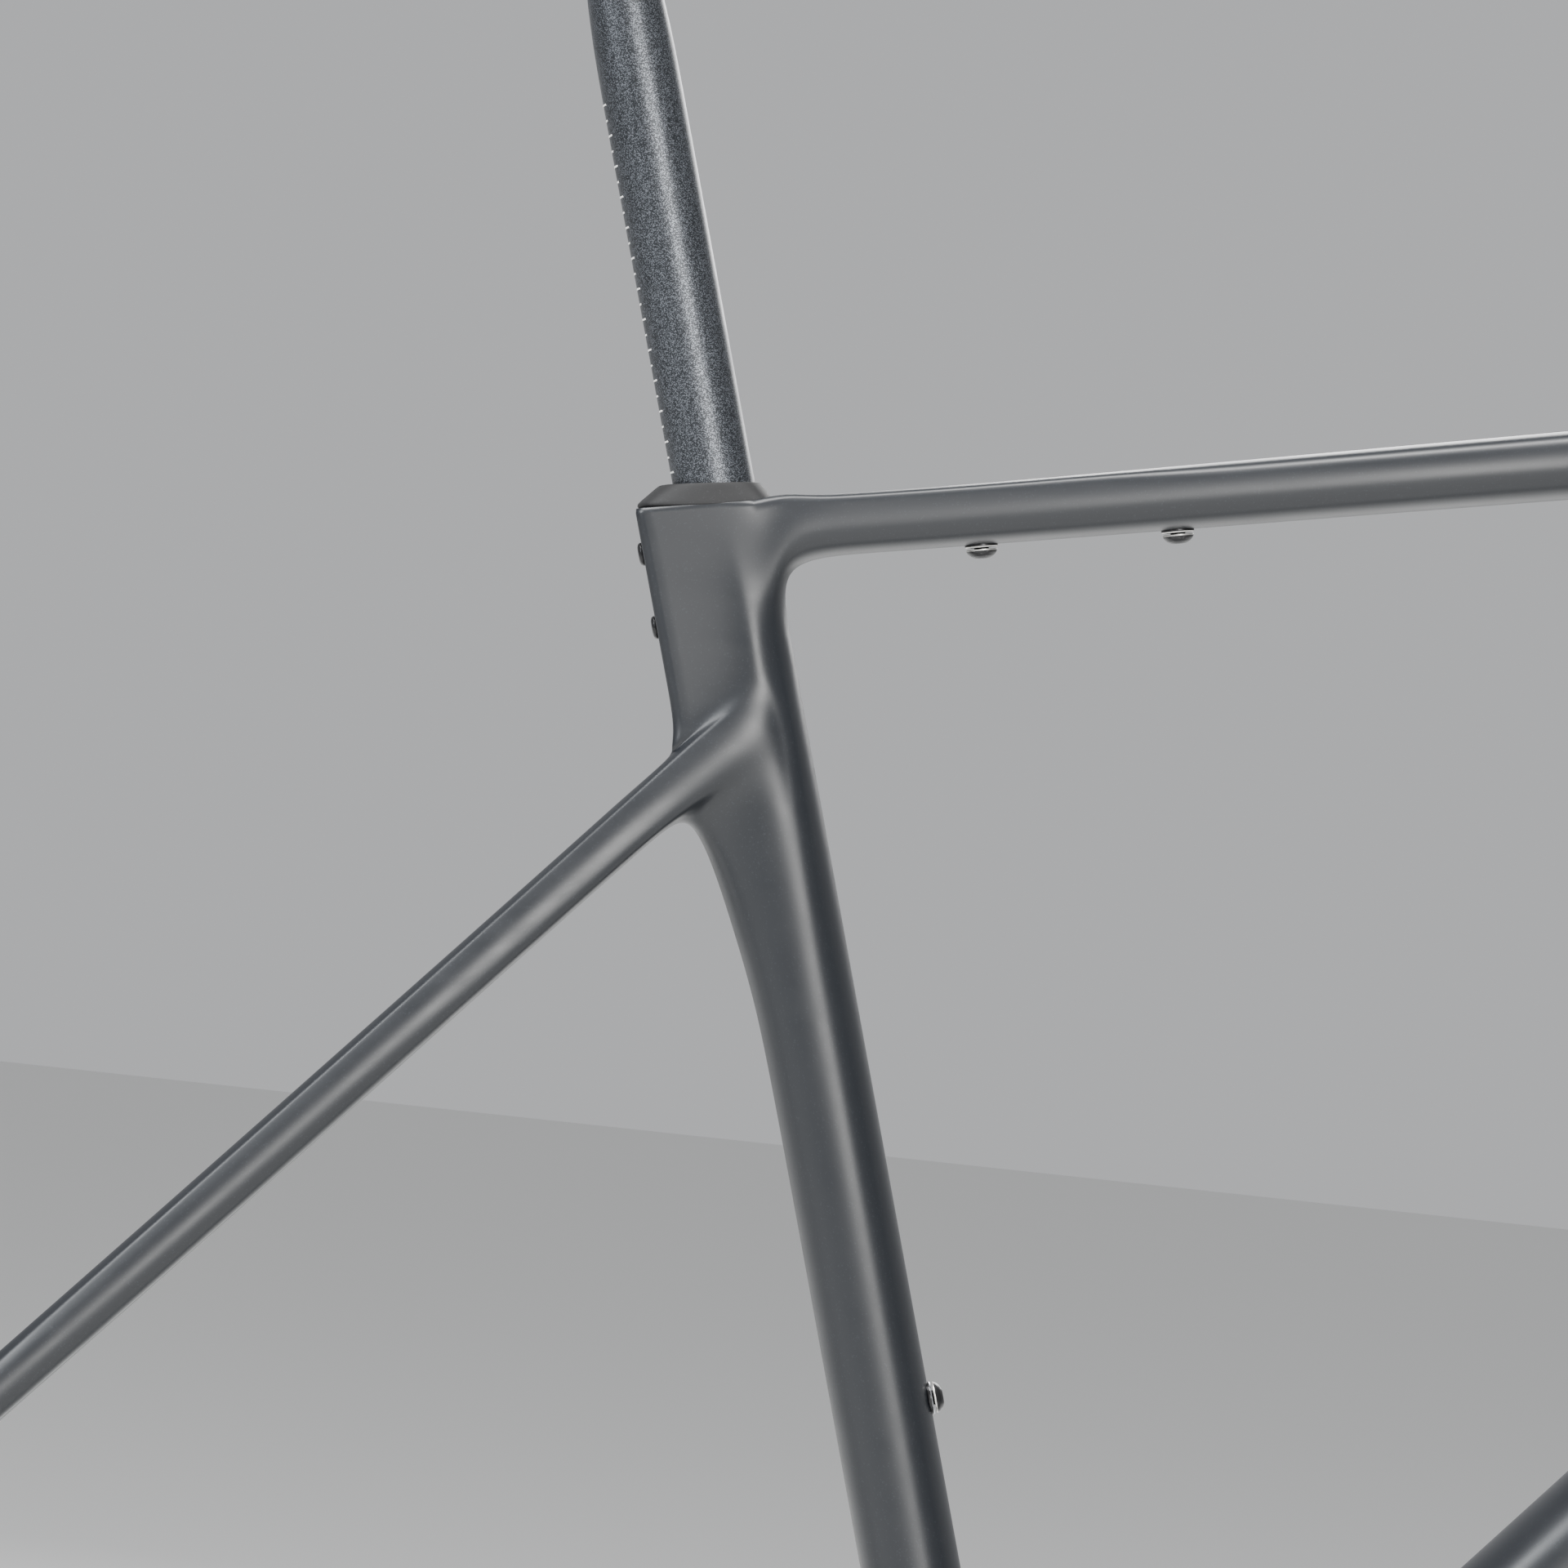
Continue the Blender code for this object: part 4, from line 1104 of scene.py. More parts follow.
# ---------------------------------------------------------------- fasteners
@dataclass
class Fasteners:
    """The button-head bolts and the bosses that they screw into, in millimetres.

    Args:
        layout: the frame's axes.
        head_radius: of a bolt's head.
        socket_radius: of the hexagonal socket in it, to its corners.
        flange_radius: of the boss under the head.
        tube_feet: names with a # for boss or bolt, and each one's foot and direction on its tube.
    """

    layout: Layout
    head_radius: float = 5.0
    socket_radius: float = 1.75
    flange_radius: float = 5.35
    tube_feet: tuple = (
        ("top_tube_#_rear", (-58.86, 0, 484.58), (0.188, 0, -0.982)),
        ("top_tube_#_front", (3.53, 0, 496.08), (0.189, 0, -0.982)),
        ("down_tube_#_lower", (125.19, 0, 160.18), (-0.72766, 0, 0.68594)),
        ("down_tube_#_upper", (168.92, 0, 207.1), (-0.72766, 0, 0.68594)),
    )

    def build_pair(self, stem: str, foot: Vector, outwards: Vector, rim_highlight_finish: Finish) -> None:
        """One boss and its bolt.

        Args:
            stem: the nodes' name with a # for boss or bolt.
            foot: where its axis crosses the tube's surface.
            outwards: out of the tube.
            rim_highlight_finish: bright metal for the ring round the flange's rim, a painted highlight on the
                black boss.
        """
        boss, bolt = stem.replace("#", "boss"), stem.replace("#", "bolt")
        flange = self.flange_radius
        profile = [(2.75, -9.0), (3.5, -9.0), (3.5, -0.5), (flange, -0.5), (flange, 0.55),
                   (flange - 0.35, 0.95), (2.75, 0.95)]
        # The flange is black steel; the ring round its rim takes bright metal as a painted highlight.
        Turned(boss + "_flange", profile, foot, outwards, Finishes.BLACK_STEEL, ring=True, edge=0.12,
               across=LEFT, band=(0.5, 1.1, 4.6, 5.6), second=rim_highlight_finish,
               ).mount("frame_body", "bright_steel", boss)
        head, socket = self.head_radius, self.socket_radius
        profile = [(0.0, -8.0), (2.4, -8.0), (2.4, 1.45), (head, 1.45), (head, 1.95), (head - 0.4, 2.7),
                   (head - 1.3, 3.65), (head - 2.5, 4.3), (socket + 0.15, 4.4), (socket, 4.2),
                   (socket, 2.3), (0.0, 2.1)]
        # A narrow ring of bright steel round the head's side is a painted highlight on the black bolt.
        Turned(bolt + "_head", profile, foot, outwards, Finishes.BLACK_STEEL, edge=0.16, across=LEFT,
               socket=socket, band=(1.5, 2.0, 4.9, 5.2), second=Finishes.STEEL,
               ).mount("frame_body", "black_steel", bolt)

    def build_clamp_bolts(self) -> None:
        """The two small bolts that press the clamp pad against the post."""
        for name, along in (("clamp_bolt_upper", 498.0), ("clamp_bolt_lower", 474.0)):
            outside = self.layout.seat_point(along, -26.3, 0.0)
            profile = [(0.0, -8.6), (2.0, -8.6), (2.0, 0.15), (3.75, 0.2), (3.75, 0.75), (3.35, 1.3),
                       (2.4, 1.65), (1.45, 1.7), (1.3, 1.6), (1.3, 0.4), (0.0, 0.3)]
            Turned(name + "_head", profile, outside, -self.layout.seat_forward, Finishes.BLACK_STEEL,
                   edge=0.12, across=LEFT, socket=1.3).mount(name + "_body", "black_steel", name)

    def build(self) -> None:
        """All the bolts."""
        for stem, foot, outwards in self.tube_feet:
            # Bright steel on the top tube's boss rims and bare alloy on the others: a painted highlight on
            # the black bosses.
            finish = Finishes.STEEL if stem.startswith("top") else Finishes.ALLOY
            self.build_pair(stem, Vector(foot) * MM, Vector(outwards).normalized(), finish)
        for end, along in (("lower", 150.0), ("upper", 214.0)):
            foot = self.layout.seat_point(along, 15.4, 0.0)
            self.build_pair("seat_tube_#_" + end, foot, self.layout.seat_forward, Finishes.ALLOY)
        self.build_clamp_bolts()


# ---------------------------------------------------------------- seatpost
@dataclass
class Seatpost:
    """The aero post, its scale marks and the saddle clamp on its head, in millimetres.

    Args:
        layout: the frame's axes.
        bottom: the post's lower end on the seat axis.
        half_depth: half its depth, front to back.
        half_width: half its width.
        wall: its wall.
        section_power: how square its section is, 2 being an ellipse.
        barrel_radius: of the barrel across its head.
        barrel_end_radius: of the barrel's rounded ends.
        barrel_half: half the barrel's length.
        bolt_bore: radius of the hole through the barrel.
        mark_spacing: from one height mark to the next.
        first_mark: the lowest mark on the seat axis.
        last_mark: the highest.
    """

    layout: Layout
    bottom: float = 347.0
    half_depth: float = 13.1
    half_width: float = 13.6
    wall: float = 2.2
    section_power: float = 2.25
    barrel_radius: float = 14.2
    barrel_end_radius: float = 13.4
    barrel_half: float = 12.0
    bolt_bore: float = 4.4
    mark_spacing: float = 5.0
    first_mark: float = 452.0
    last_mark: float = 642.0

    def section(self, along: float, depth: float, width: float) -> list[Vector]:
        """A control ring of the post."""
        points = Oval(depth, depth, width, self.section_power).points()
        return surface_to_control([self.layout.seat_point(along, u, w) for u, w in points])

    def build_post(self) -> None:
        """The hollow post grown up into its cross barrel."""
        cage = Cage()
        half = self.barrel_half
        end, full = self.barrel_end_radius, self.barrel_radius
        right_end, right, middle, left, left_end = cage.stack(self.barrel_ring(*layer) for layer in (
            (-half, end), (-half + 0.8, full), (0.0, full), (half - 0.8, full), (half, end)))
        bores = []
        for ring, station in ((left_end, half), (right_end, -half)):
            centre = self.layout.saddle_pivot + LEFT * station * MM
            bores.append([centre + (vert.co - centre) * (self.bolt_bore / end) for vert in ring])
        bore = cage.extend(left_end, bores)
        cage.join(bore[-1], right_end)
        for ring in (right_end, left_end, *bore):
            cage.crease(ring, 0.8, closed=True)
        rim = [middle[1], left[1], left[0], left[7], middle[7], right[7], right[0], right[1]]
        bmesh.ops.delete(cage.mesh, geom=[middle[0]], context='VERTS')
        depth, width = self.half_depth, self.half_width
        layers = ((686.0, 11.2, 11.6), (676.0, 12.2, 12.0), (660.0, 13.0, 13.0), (640.0, depth, width),
                  (600.0, depth, width), (500.0, depth, width), (self.bottom + 1.0, depth, width),
                  (self.bottom, depth - 0.3, width - 0.3))
        ring = cage.extend(rim, [self.section(*layer) for layer in layers])[-1]
        cage.crease(ring, 0.6, closed=True)
        depth, width = depth - self.wall, width - self.wall
        ring = cage.grow(ring, self.section(self.bottom, depth, width))
        cage.crease(ring, 0.8, closed=True)
        inside = (self.bottom + 4.0, 500.0, 655.0)
        cage.close(cage.extend(ring, [self.section(along, depth, width) for along in inside])[-1])
        post = make_object(face_outwards(cage.mesh), "seatpost_tube", [Finishes.POST], levels=GROWN_LEVELS)
        fit(post, "seatpost_body", "post_speckle", "seatpost")

    def barrel_ring(self, station: float, radius: float) -> list[Vector]:
        """A control ring of the cross barrel.

        Args:
            station: its distance to the left in millimetres.
            radius: its radius.

        Returns:
            The ring, from its lower side over the front.
        """
        points = []
        for index in range(RING):
            turn = math.tau * index / RING
            spoke = -self.layout.seat_axis * math.cos(turn) + self.layout.seat_forward * math.sin(turn)
            points.append(self.layout.saddle_pivot + (spoke * radius + LEFT * station) * MM)
        return surface_to_control(points)

    def build_marks(self) -> None:
        """Printed height marks down the rear of the post, longer at every other one."""
        mesh = bmesh.new()
        half_height, proud, thickness = 0.28, 0.05, 0.12
        count = int((self.last_mark - self.first_mark) / self.mark_spacing) + 1
        for index in range(count):
            along = self.first_mark + index * self.mark_spacing
            reach = 0.28 if index % 2 else 0.42
            made = bmesh.ops.create_grid(mesh, x_segments=8, y_segments=1, size=1.0)["verts"]
            for vert in made:
                u, w = squared(math.pi + vert.co.x * reach, self.section_power)
                height = along + vert.co.y * half_height
                vert.co = self.layout.seat_point(height, u * (self.half_depth + proud),
                                                 w * (self.half_width + proud))
        bmesh.ops.solidify(face_outwards(mesh), geom=mesh.faces[:], thickness=thickness * MM)
        marks = make_object(face_outwards(mesh), "seatpost_marks", [Finishes.MARKS])
        fit(marks, "seatpost_body", "post_speckle")

    def build_disc(self, node: str, sign: float, low: float, high: float) -> None:
        """One cradle or clamp: a disc across the barrel, cut flat above and grooved for a rail.

        Args:
            node: the CAD node it stands for.
            sign: 1 on the left, -1 on the right.
            low: its inner face from the middle, in millimetres.
            high: its outer face.
        """
        mesh = bmesh.new()
        groove_at, groove_height, groove_radius, radius = 22.0, 11.5, 3.6, 17.0
        bmesh.ops.create_cube(mesh, size=1.0)
        bmesh.ops.scale(mesh, verts=mesh.verts, vec=(40.0, high - low, 34.0))
        bmesh.ops.translate(mesh, verts=mesh.verts, vec=(0.0, (low + high) / 2.0, -3.0))
        edge = high if high < groove_at else low
        inwards = -1.0 if high < groove_at else 1.0
        reach = math.sqrt(groove_radius ** 2 - (groove_at - edge) ** 2)
        start, stop = groove_height - reach, groove_height + reach
        for height in (start, stop):
            bmesh.ops.bisect_plane(mesh, geom=mesh.verts[:] + mesh.edges[:] + mesh.faces[:],
                                   plane_co=(0.0, 0.0, height), plane_no=(0.0, 0.0, 1.0))
        band = [e for e in mesh.edges if abs(e.verts[0].co.z - e.verts[1].co.z) > 1.0
                and all(start - 0.01 < v.co.z < stop + 0.01 and abs(v.co.y - edge) < 0.01 for v in e.verts)]
        made = bmesh.ops.subdivide_edges(mesh, edges=band, cuts=7, use_grid_fill=True)
        for vert in {v for v in made["geom_inner"] if isinstance(v, BMVert)}:
            across = math.sqrt(max(groove_radius ** 2 - (vert.co.z - groove_height) ** 2, 0.0))
            vert.co.y = groove_at + inwards * across
        for index in range(40):
            turn = math.tau * index / 40
            spoke = Vector((math.cos(turn), 0.0, math.sin(turn)))
            cut = bmesh.ops.bisect_plane(mesh, geom=mesh.verts[:] + mesh.edges[:] + mesh.faces[:],
                                         dist=1e-4, plane_co=spoke * radius, plane_no=spoke,
                                         clear_outer=True)
            rim = [item for item in cut["geom_cut"] if isinstance(item, bmesh.types.BMEdge)]
            if rim:
                bmesh.ops.contextual_create(mesh, geom=rim)
        bmesh.ops.scale(mesh, verts=mesh.verts, vec=(MM, MM * sign, MM))
        bmesh.ops.translate(mesh, verts=mesh.verts, vec=self.layout.saddle_pivot)
        bmesh.ops.remove_doubles(mesh, verts=mesh.verts, dist=0.002 * MM)
        piece = make_object(face_outwards(mesh), node + "_disc", [Finishes.BLACK_ALLOY])
        soften(piece, 0.7, 3)
        fit(piece, "saddle_clamp_body", "black_alloy", node)

    def build_clamp(self) -> None:
        """The discs, and the cross bolt with its nut."""
        for side, sign in (("left", 1.0), ("right", -1.0)):
            self.build_disc("saddle_cradle_" + side, sign, 12.4, 21.4)
            self.build_disc("saddle_clamp_" + side, sign, 22.6, 30.0)
        pivot = self.layout.saddle_pivot
        profile = [(0.0, -36.8), (3.2, -36.8), (4.0, -36.0), (4.0, 30.3), (6.5, 30.3), (6.5, 36.4),
                   (3.0, 36.9), (2.9, 36.7), (2.9, 32.7), (0.0, 32.4)]
        Turned("saddle_clamp_screw", profile, pivot, -LEFT, Finishes.BLACK_STEEL, edge=0.4,
               socket=2.9).mount("saddle_clamp_body", "black_steel", "saddle_clamp_bolt")
        profile = [(4.4, 30.3), (7.5, 30.3), (7.5, 36.5), (4.4, 36.5)]
        Turned("saddle_clamp_hex_nut", profile, pivot, LEFT, Finishes.BLACK_STEEL, ring=True, edge=0.35,
               socket=7.5).mount("saddle_clamp_body", "black_steel", "saddle_clamp_nut")

    def build(self) -> None:
        """The post and what it carries."""
        self.build_post()
        self.build_marks()
        self.build_clamp()


# ---------------------------------------------------------------- clamp cover
@dataclass
class ClampCover:
    """The rubber cover round the post, chamfered behind and sloping down in front, in millimetres.

    Args:
        layout: the frame's axes.
        top_face: height of the frame's top face on the seat axis.
        top_middle: how far ahead of the axis that height is measured.
        slope: rise of the top face for each millimetre ahead.
        ring_count: control points round the cover.
        hole: the section that the post goes through.
        layers: height, front, rear, half width and squareness of each outer ring.
    """

    layout: Layout
    top_face: float = 509.2
    top_middle: float = -5.45
    slope: float = -0.155
    ring_count: int = 12
    hole: Oval = Oval(13.5, 13.5, 14.0, 2.25)
    layers: tuple = ((0.1, 18.6, -25.0, 15.6, 3.2), (0.9, 18.6, -25.6, 16.1, 3.2),
                     (1.9, 18.2, -25.3, 16.0, 3.2), (6.7, 15.2, -18.8, 15.1, 2.6),
                     (7.7, 14.6, -17.3, 14.7, 2.5))

    def ring(self, height: float, front: float, rear: float, side: float, power: float) -> list[Vector]:
        """A ring parallel to the frame's sloping top face.

        Args:
            height: above that face.
            front: how far ahead of the seat axis it reaches.
            rear: the same for its rear, so below 0.
            side: its half width.
            power: how square it is.

        Returns:
            The control ring.
        """
        middle = (front + rear) / 2.0
        points = Oval(front - middle, middle - rear, side, power).points(self.ring_count)
        return surface_to_control([self.place(height, middle + u, w) for u, w in points])

    def place(self, height: float, ahead: float, side: float) -> Vector:
        """A point above the top face."""
        along = self.top_face + height + (ahead - self.top_middle) * self.slope
        return self.layout.seat_point(along, ahead, side)

    def build(self) -> None:
        """The cover, with the post's hole through it."""
        cage = Cage()
        rings = cage.stack(self.ring(*layer) for layer in self.layers)
        hole = self.hole.points(self.ring_count)
        inner = rings[-1]
        for height in (self.layers[-1][0], self.layers[0][0]):
            points = surface_to_control([self.place(height, u, w) for u, w in hole])
            inner = cage.grow(inner, points)
            cage.crease(inner, 0.8, closed=True)
        cage.join(inner, rings[0])
        cage.crease(rings[0], 0.9, closed=True)
        for ring in rings[1:]:
            cage.crease(ring, 0.35, closed=True)
        cover = make_object(face_outwards(cage.mesh), "clamp_cover_moulding", [Finishes.RUBBER],
                            levels=GROWN_LEVELS)
        fit(cover, "frame_body", "cover_rubber", "clamp_cover")


# ---------------------------------------------------------------- bearings
@dataclass
class Bearings:
    """Headset and bottom bracket.

    Args:
        layout: the frame's axes.
    """

    layout: Layout

    def build_headset(self) -> None:
        """Races, compression ring and top cover."""
        top, low, axis = self.layout.head_top, self.layout.head_bottom, self.layout.head_axis
        rings = (
            ("headset_upper_outer_race", "frame_body", 18.7, 20.9, -7.6, -0.6, top, Finishes.STEEL),
            ("headset_upper_inner_race", "steering_upper_body", 15.4, 18.4, -7.6, -0.3, top, Finishes.STEEL),
            ("headset_compression_ring", "steering_upper_body", 14.5, 17.5, 0.0, 2.6, top, Finishes.ALLOY),
            ("headset_lower_outer_race", "frame_body", 23.4, 26.0, 0.4, 8.0, low, Finishes.STEEL),
            ("headset_lower_inner_race", "steering_lower_body", 20.0, 23.1, 0.2, 7.8, low, Finishes.STEEL),
        )
        for node, body, inner, outer, base, high, origin, finish in rings:
            profile = [(inner, base), (outer, base), (outer, high), (inner, high)]
            slot = "bare_alloy" if finish is Finishes.ALLOY else "bright_steel"
            Turned(node + "_ring", profile, origin, axis, finish, ring=True, edge=0.4,
                   across=LEFT).mount(body, slot, node)
        profile = [(14.5, 2.9), (18.2, 2.9), (18.2, 0.5), (24.9, 0.5), (25.0, 1.6), (24.4, 2.9),
                   (23.6, 4.1), (19.4, 8.6), (18.6, 8.9), (18.4, 9.6), (17.8, 9.9), (15.0, 9.9), (14.5, 9.5)]
        Turned("headset_cover_cap", profile, top, axis, Finishes.BLACK_ALLOY, ring=True, edge=0.35,
               across=LEFT, steps=96).mount("steering_upper_body", "black_alloy", "headset_cover")

    def build_bottom_bracket(self) -> None:
        """Notched cups, sealed bearings and the sleeve between the cups."""
        for side, sign in (("left", 1.0), ("right", -1.0)):
            profile = [(14.6, 22.0), (17.3, 22.0), (17.3, 34.3), (21.4, 34.3), (22.0, 35.0), (22.0, 42.6),
                       (20.6, 44.2), (17.2, 44.4), (16.2, 43.9), (16.2, 36.4), (14.6, 36.4)]
            Turned("bb_cup_" + side + "_flange", profile, Vector(), LEFT * sign, Finishes.BLACK_ALLOY,
                   ring=True, edge=0.4, steps=192, notches=16, notch_depth=1.1,
                   notch_band=(35.9, 42.9)).mount("frame_body", "black_alloy", "bb_cup_" + side)
            profile = [(12.1, 36.8), (15.9, 36.8), (15.9, 43.3), (15.5, 43.7), (15.0, 43.2), (13.6, 43.2),
                       (13.4, 44.0), (12.3, 44.0), (12.1, 43.8)]
            Turned("bb_bearing_" + side, profile, Vector(), LEFT * sign, Finishes.STEEL, ring=True,
                   edge=0.15, band=(43.0, 43.5, 13.5, 15.2), second=Finishes.RUBBER,
                   ).mount("spindle_race_" + side + "_body", "bright_steel", "bb_inner_race_" + side)
        profile = [(15.6, -21.6), (16.8, -21.6), (16.8, 21.6), (15.6, 21.6)]
        Turned("bb_sleeve_tube", profile, Vector(), LEFT, Finishes.PLASTIC, ring=True,
               edge=0.3).mount("frame_body", "clamp_plastic", "bb_sleeve")

    def build(self) -> None:
        """Both sets."""
        self.build_headset()
        self.build_bottom_bracket()


# ---------------------------------------------------------------- rear end
@dataclass
class RearEnd:
    """Dropouts, hanger, thru axle, brake bolts and the chainstay protector, in millimetres.

    Args:
        layout: the frame's axes.
        dropout_outline: (x, z) corners from the axle.
        hanger_outline: the same of the derailleur hanger.
        inner: the dropouts' inner faces, from the middle.
        outer: their outer faces.
        hanger_thread: (x, z) of the derailleur's threaded hole.
        hanger_screw: (x, z) of the screw that holds the hanger.
        axle_hole: (x, z, radius) of the hole for the axle.
        screw_hole: radius of the hole for the hanger's screw.
        hanger_faces: the hanger's right and left faces, from the middle.
    """

    layout: Layout
    dropout_outline: tuple = ((31.6, -17.5), (5, -18), (-11, -13.5), (-17, -2), (-14, 14), (3.9, 38.5),
                              (16, 27), (20, 13), (31.6, 3.6))
    hanger_outline: tuple = ((11, -9), (-1, -29), (-8, -37), (-17, -36), (-19, -27), (-15, -8), (-13, 8),
                             (0, 14), (12, 8))
    inner: float = 71.0
    outer: float = 79.0
    hanger_thread: tuple[float, float] = (-10.5, -28.5)
    hanger_screw: tuple[float, float] = (-2.0, 10.2)
    axle_hole: tuple[float, float, float] = (0.0, 0.0, 6.3)
    screw_hole: float = 1.9
    hanger_faces: tuple[float, float] = (-84.3, -79.3)

    def plate(self, outline: Sequence[tuple[float, float]], holes: Sequence[tuple[float, float, float]],
              low: float, high: float, corner: float) -> BMesh:
        """A plate standing across Y with round holes.

        Args:
            outline: (x, z) corners in millimetres from the axle.
            holes: (x, z, radius) of each hole.
            low: its right face in millimetres.
            high: its left face.
            corner: rounding of the outline's corners.

        Returns:
            The plate.
        """
        mesh = bmesh.new()
        loop = bmesh.ops.create_circle(mesh, segments=len(outline), radius=1.0)["verts"]
        loop.sort(key=lambda vert: math.atan2(vert.co.y, vert.co.x) % math.tau)
        for vert, (x, z) in zip(loop, outline):
            vert.co = (x, 0.0, z)
        bmesh.ops.bevel(mesh, geom=loop, offset=corner, offset_type='OFFSET', segments=5, profile=0.5,
                        affect='VERTICES', clamp_overlap=True, material=-1)
        for x, z, radius in holes:
            place = Matrix.Translation((x, 0.0, z)) @ Matrix.Rotation(math.pi / 2.0, 4, 'X')
            bmesh.ops.create_circle(mesh, segments=36, radius=radius, matrix=place)
        bmesh.ops.triangle_fill(mesh, use_beauty=True, use_dissolve=False, edges=mesh.edges[:])
        bmesh.ops.translate(mesh, verts=mesh.verts, vec=(0.0, low, 0.0))
        moved = bmesh.ops.extrude_face_region(mesh, geom=mesh.faces[:])["geom"]
        raised = [item for item in moved if isinstance(item, BMVert)]
        bmesh.ops.translate(mesh, verts=raised, vec=(0.0, high - low, 0.0))
        bmesh.ops.scale(face_outwards(mesh), verts=mesh.verts, vec=(MM, MM, MM))
        bmesh.ops.translate(mesh, verts=mesh.verts, vec=self.layout.rear_axle)
        return mesh

    def build_plates(self) -> None:
        """Both dropouts and the hanger."""
        for side, sign in (("left", 1.0), ("right", -1.0)):
            low, high = sorted((sign * self.inner, sign * self.outer))
            holes = [self.axle_hole]
            if sign < 0.0:
                holes.append((*self.hanger_screw, self.screw_hole))
            piece = make_object(self.plate(self.dropout_outline, holes, low, high, 6.0),
                                "dropout_" + side + "_plate", [Finishes.PAINT])
            soften(piece, 1.4, 4)
            fit(piece, "frame_body", "carbon_satin", "dropout_" + side)
        holes = [self.axle_hole, (*self.hanger_thread, 5.0), (*self.hanger_screw, self.screw_hole)]
        piece = make_object(self.plate(self.hanger_outline, holes, *self.hanger_faces, 4.0),
                            "derailleur_hanger_plate", [Finishes.BLACK_ALLOY])
        soften(piece, 0.7, 3)
        fit(piece, "frame_body", "black_alloy", "derailleur_hanger")

    def build_bolts(self) -> None:
        """Thru axle, hanger screw and the brake's two bolts."""
        profile = [(0.0, -84.0), (5.0, -84.0), (6.0, -83.0), (6.0, 79.3), (9.0, 79.3), (9.0, 82.6),
                   (7.6, 84.0), (3.2, 84.0), (3.0, 83.8), (3.0, 77.5), (0.0, 77.0)]
        Turned("thru_axle_shaft", profile, self.layout.rear_axle, LEFT, Finishes.BLACK_ALLOY, edge=0.3,
               socket=3.0, across=FORWARD).mount("rear_axle_body", "black_alloy", "thru_axle")
        x, z = self.hanger_screw
        at = self.layout.rear_axle + Vector((x, self.hanger_faces[1], z)) * MM
        profile = [(0.0, -6.0), (1.6, -6.0), (1.6, 5.3), (3.0, 5.3), (3.0, 6.0), (2.5, 6.8), (1.2, 6.8),
                   (1.2, 5.8), (0.0, 5.7)]
        Turned("hanger_screw_head", profile, at, -LEFT, Finishes.BLACK_STEEL, edge=0.12, socket=1.2,
               across=FORWARD).mount("frame_body", "black_steel", "hanger_bolt")
        near, middle, far = (Vector(centre) * MM for centre, _ in FrameSkin.chainstay[3:6])
        along = (far - near).normalized()
        outwards = (UP - along * UP.dot(along)).normalized()
        for end, step in (("front", -6.0), ("rear", 28.0)):
            centre = middle + along * step * MM
            profile = [(0.0, 12.0), (2.5, 12.0), (2.5, -12.4), (4.2, -12.4), (4.2, -15.2), (3.7, -15.8),
                       (1.7, -15.9), (1.6, -15.7), (1.6, -13.4), (0.0, -13.2)]
            Turned("brake_screw_" + end, profile, centre, outwards, Finishes.BLACK_STEEL, edge=0.15,
                   socket=1.6, across=FORWARD).mount("frame_body", "black_steel", "brake_bolt_" + end)
            profile = [(2.9, 8.0), (6.4, 8.0), (6.4, 12.6), (2.9, 12.6)]
            Turned("brake_pad_" + end + "_face", profile, centre, outwards, Finishes.PAINT, ring=True,
                   edge=0.3, across=FORWARD).mount("frame_body", "carbon_satin")

    def build_protector(self) -> None:
        """A rubber strip over the right chainstay, with ribs across it against chain slap."""
        route = FrameSkin.chainstay[2:5]
        bend, wrap, pitch = 0.46, 1.5, 5.0
        centres = [Vector((x, -y, z)) for (x, y, z), _ in route]
        length = (centres[-1] - centres[0]).length
        rise, left = section_frame(centres[-1] - centres[0], UP)
        mesh = bmesh.new()
        cells = bmesh.ops.create_grid(mesh, x_segments=150, y_segments=14, size=1.0)["verts"]
        for vert in cells:
            share, turn = (vert.co.x + 1.0) / 2.0, vert.co.y * wrap
            index = 0 if share < bend else 1
            part = share / bend if index == 0 else (share - bend) / (1.0 - bend)
            (_, first), (_, last) = route[index], route[index + 1]
            centre = centres[index].lerp(centres[index + 1], part)
            up = first.up + (last.up - first.up) * part
            side = first.side + (last.side - first.side) * part
            end = min(share, 1.0 - share) * length
            rib = 0.5 * max(0.0, math.cos(share * length / pitch * math.tau)) if end > 6.0 else 0.0
            lift = 0.9 + min(end / 4.0, 1.0) * 0.7 + rib * max(0.0, math.cos(turn))
            u, w = squared(turn, first.power)
            vert.co = (centre + rise * (u * (up + lift)) + left * (w * (side + lift))) * MM
        bmesh.ops.solidify(face_outwards(mesh), geom=mesh.faces[:], thickness=1.1 * MM)
        strip = make_object(face_outwards(mesh), "chainstay_protector_strip", [Finishes.STRIP], angle=50.0)
        fit(strip, "frame_body", "protector_rubber", "chainstay_protector")

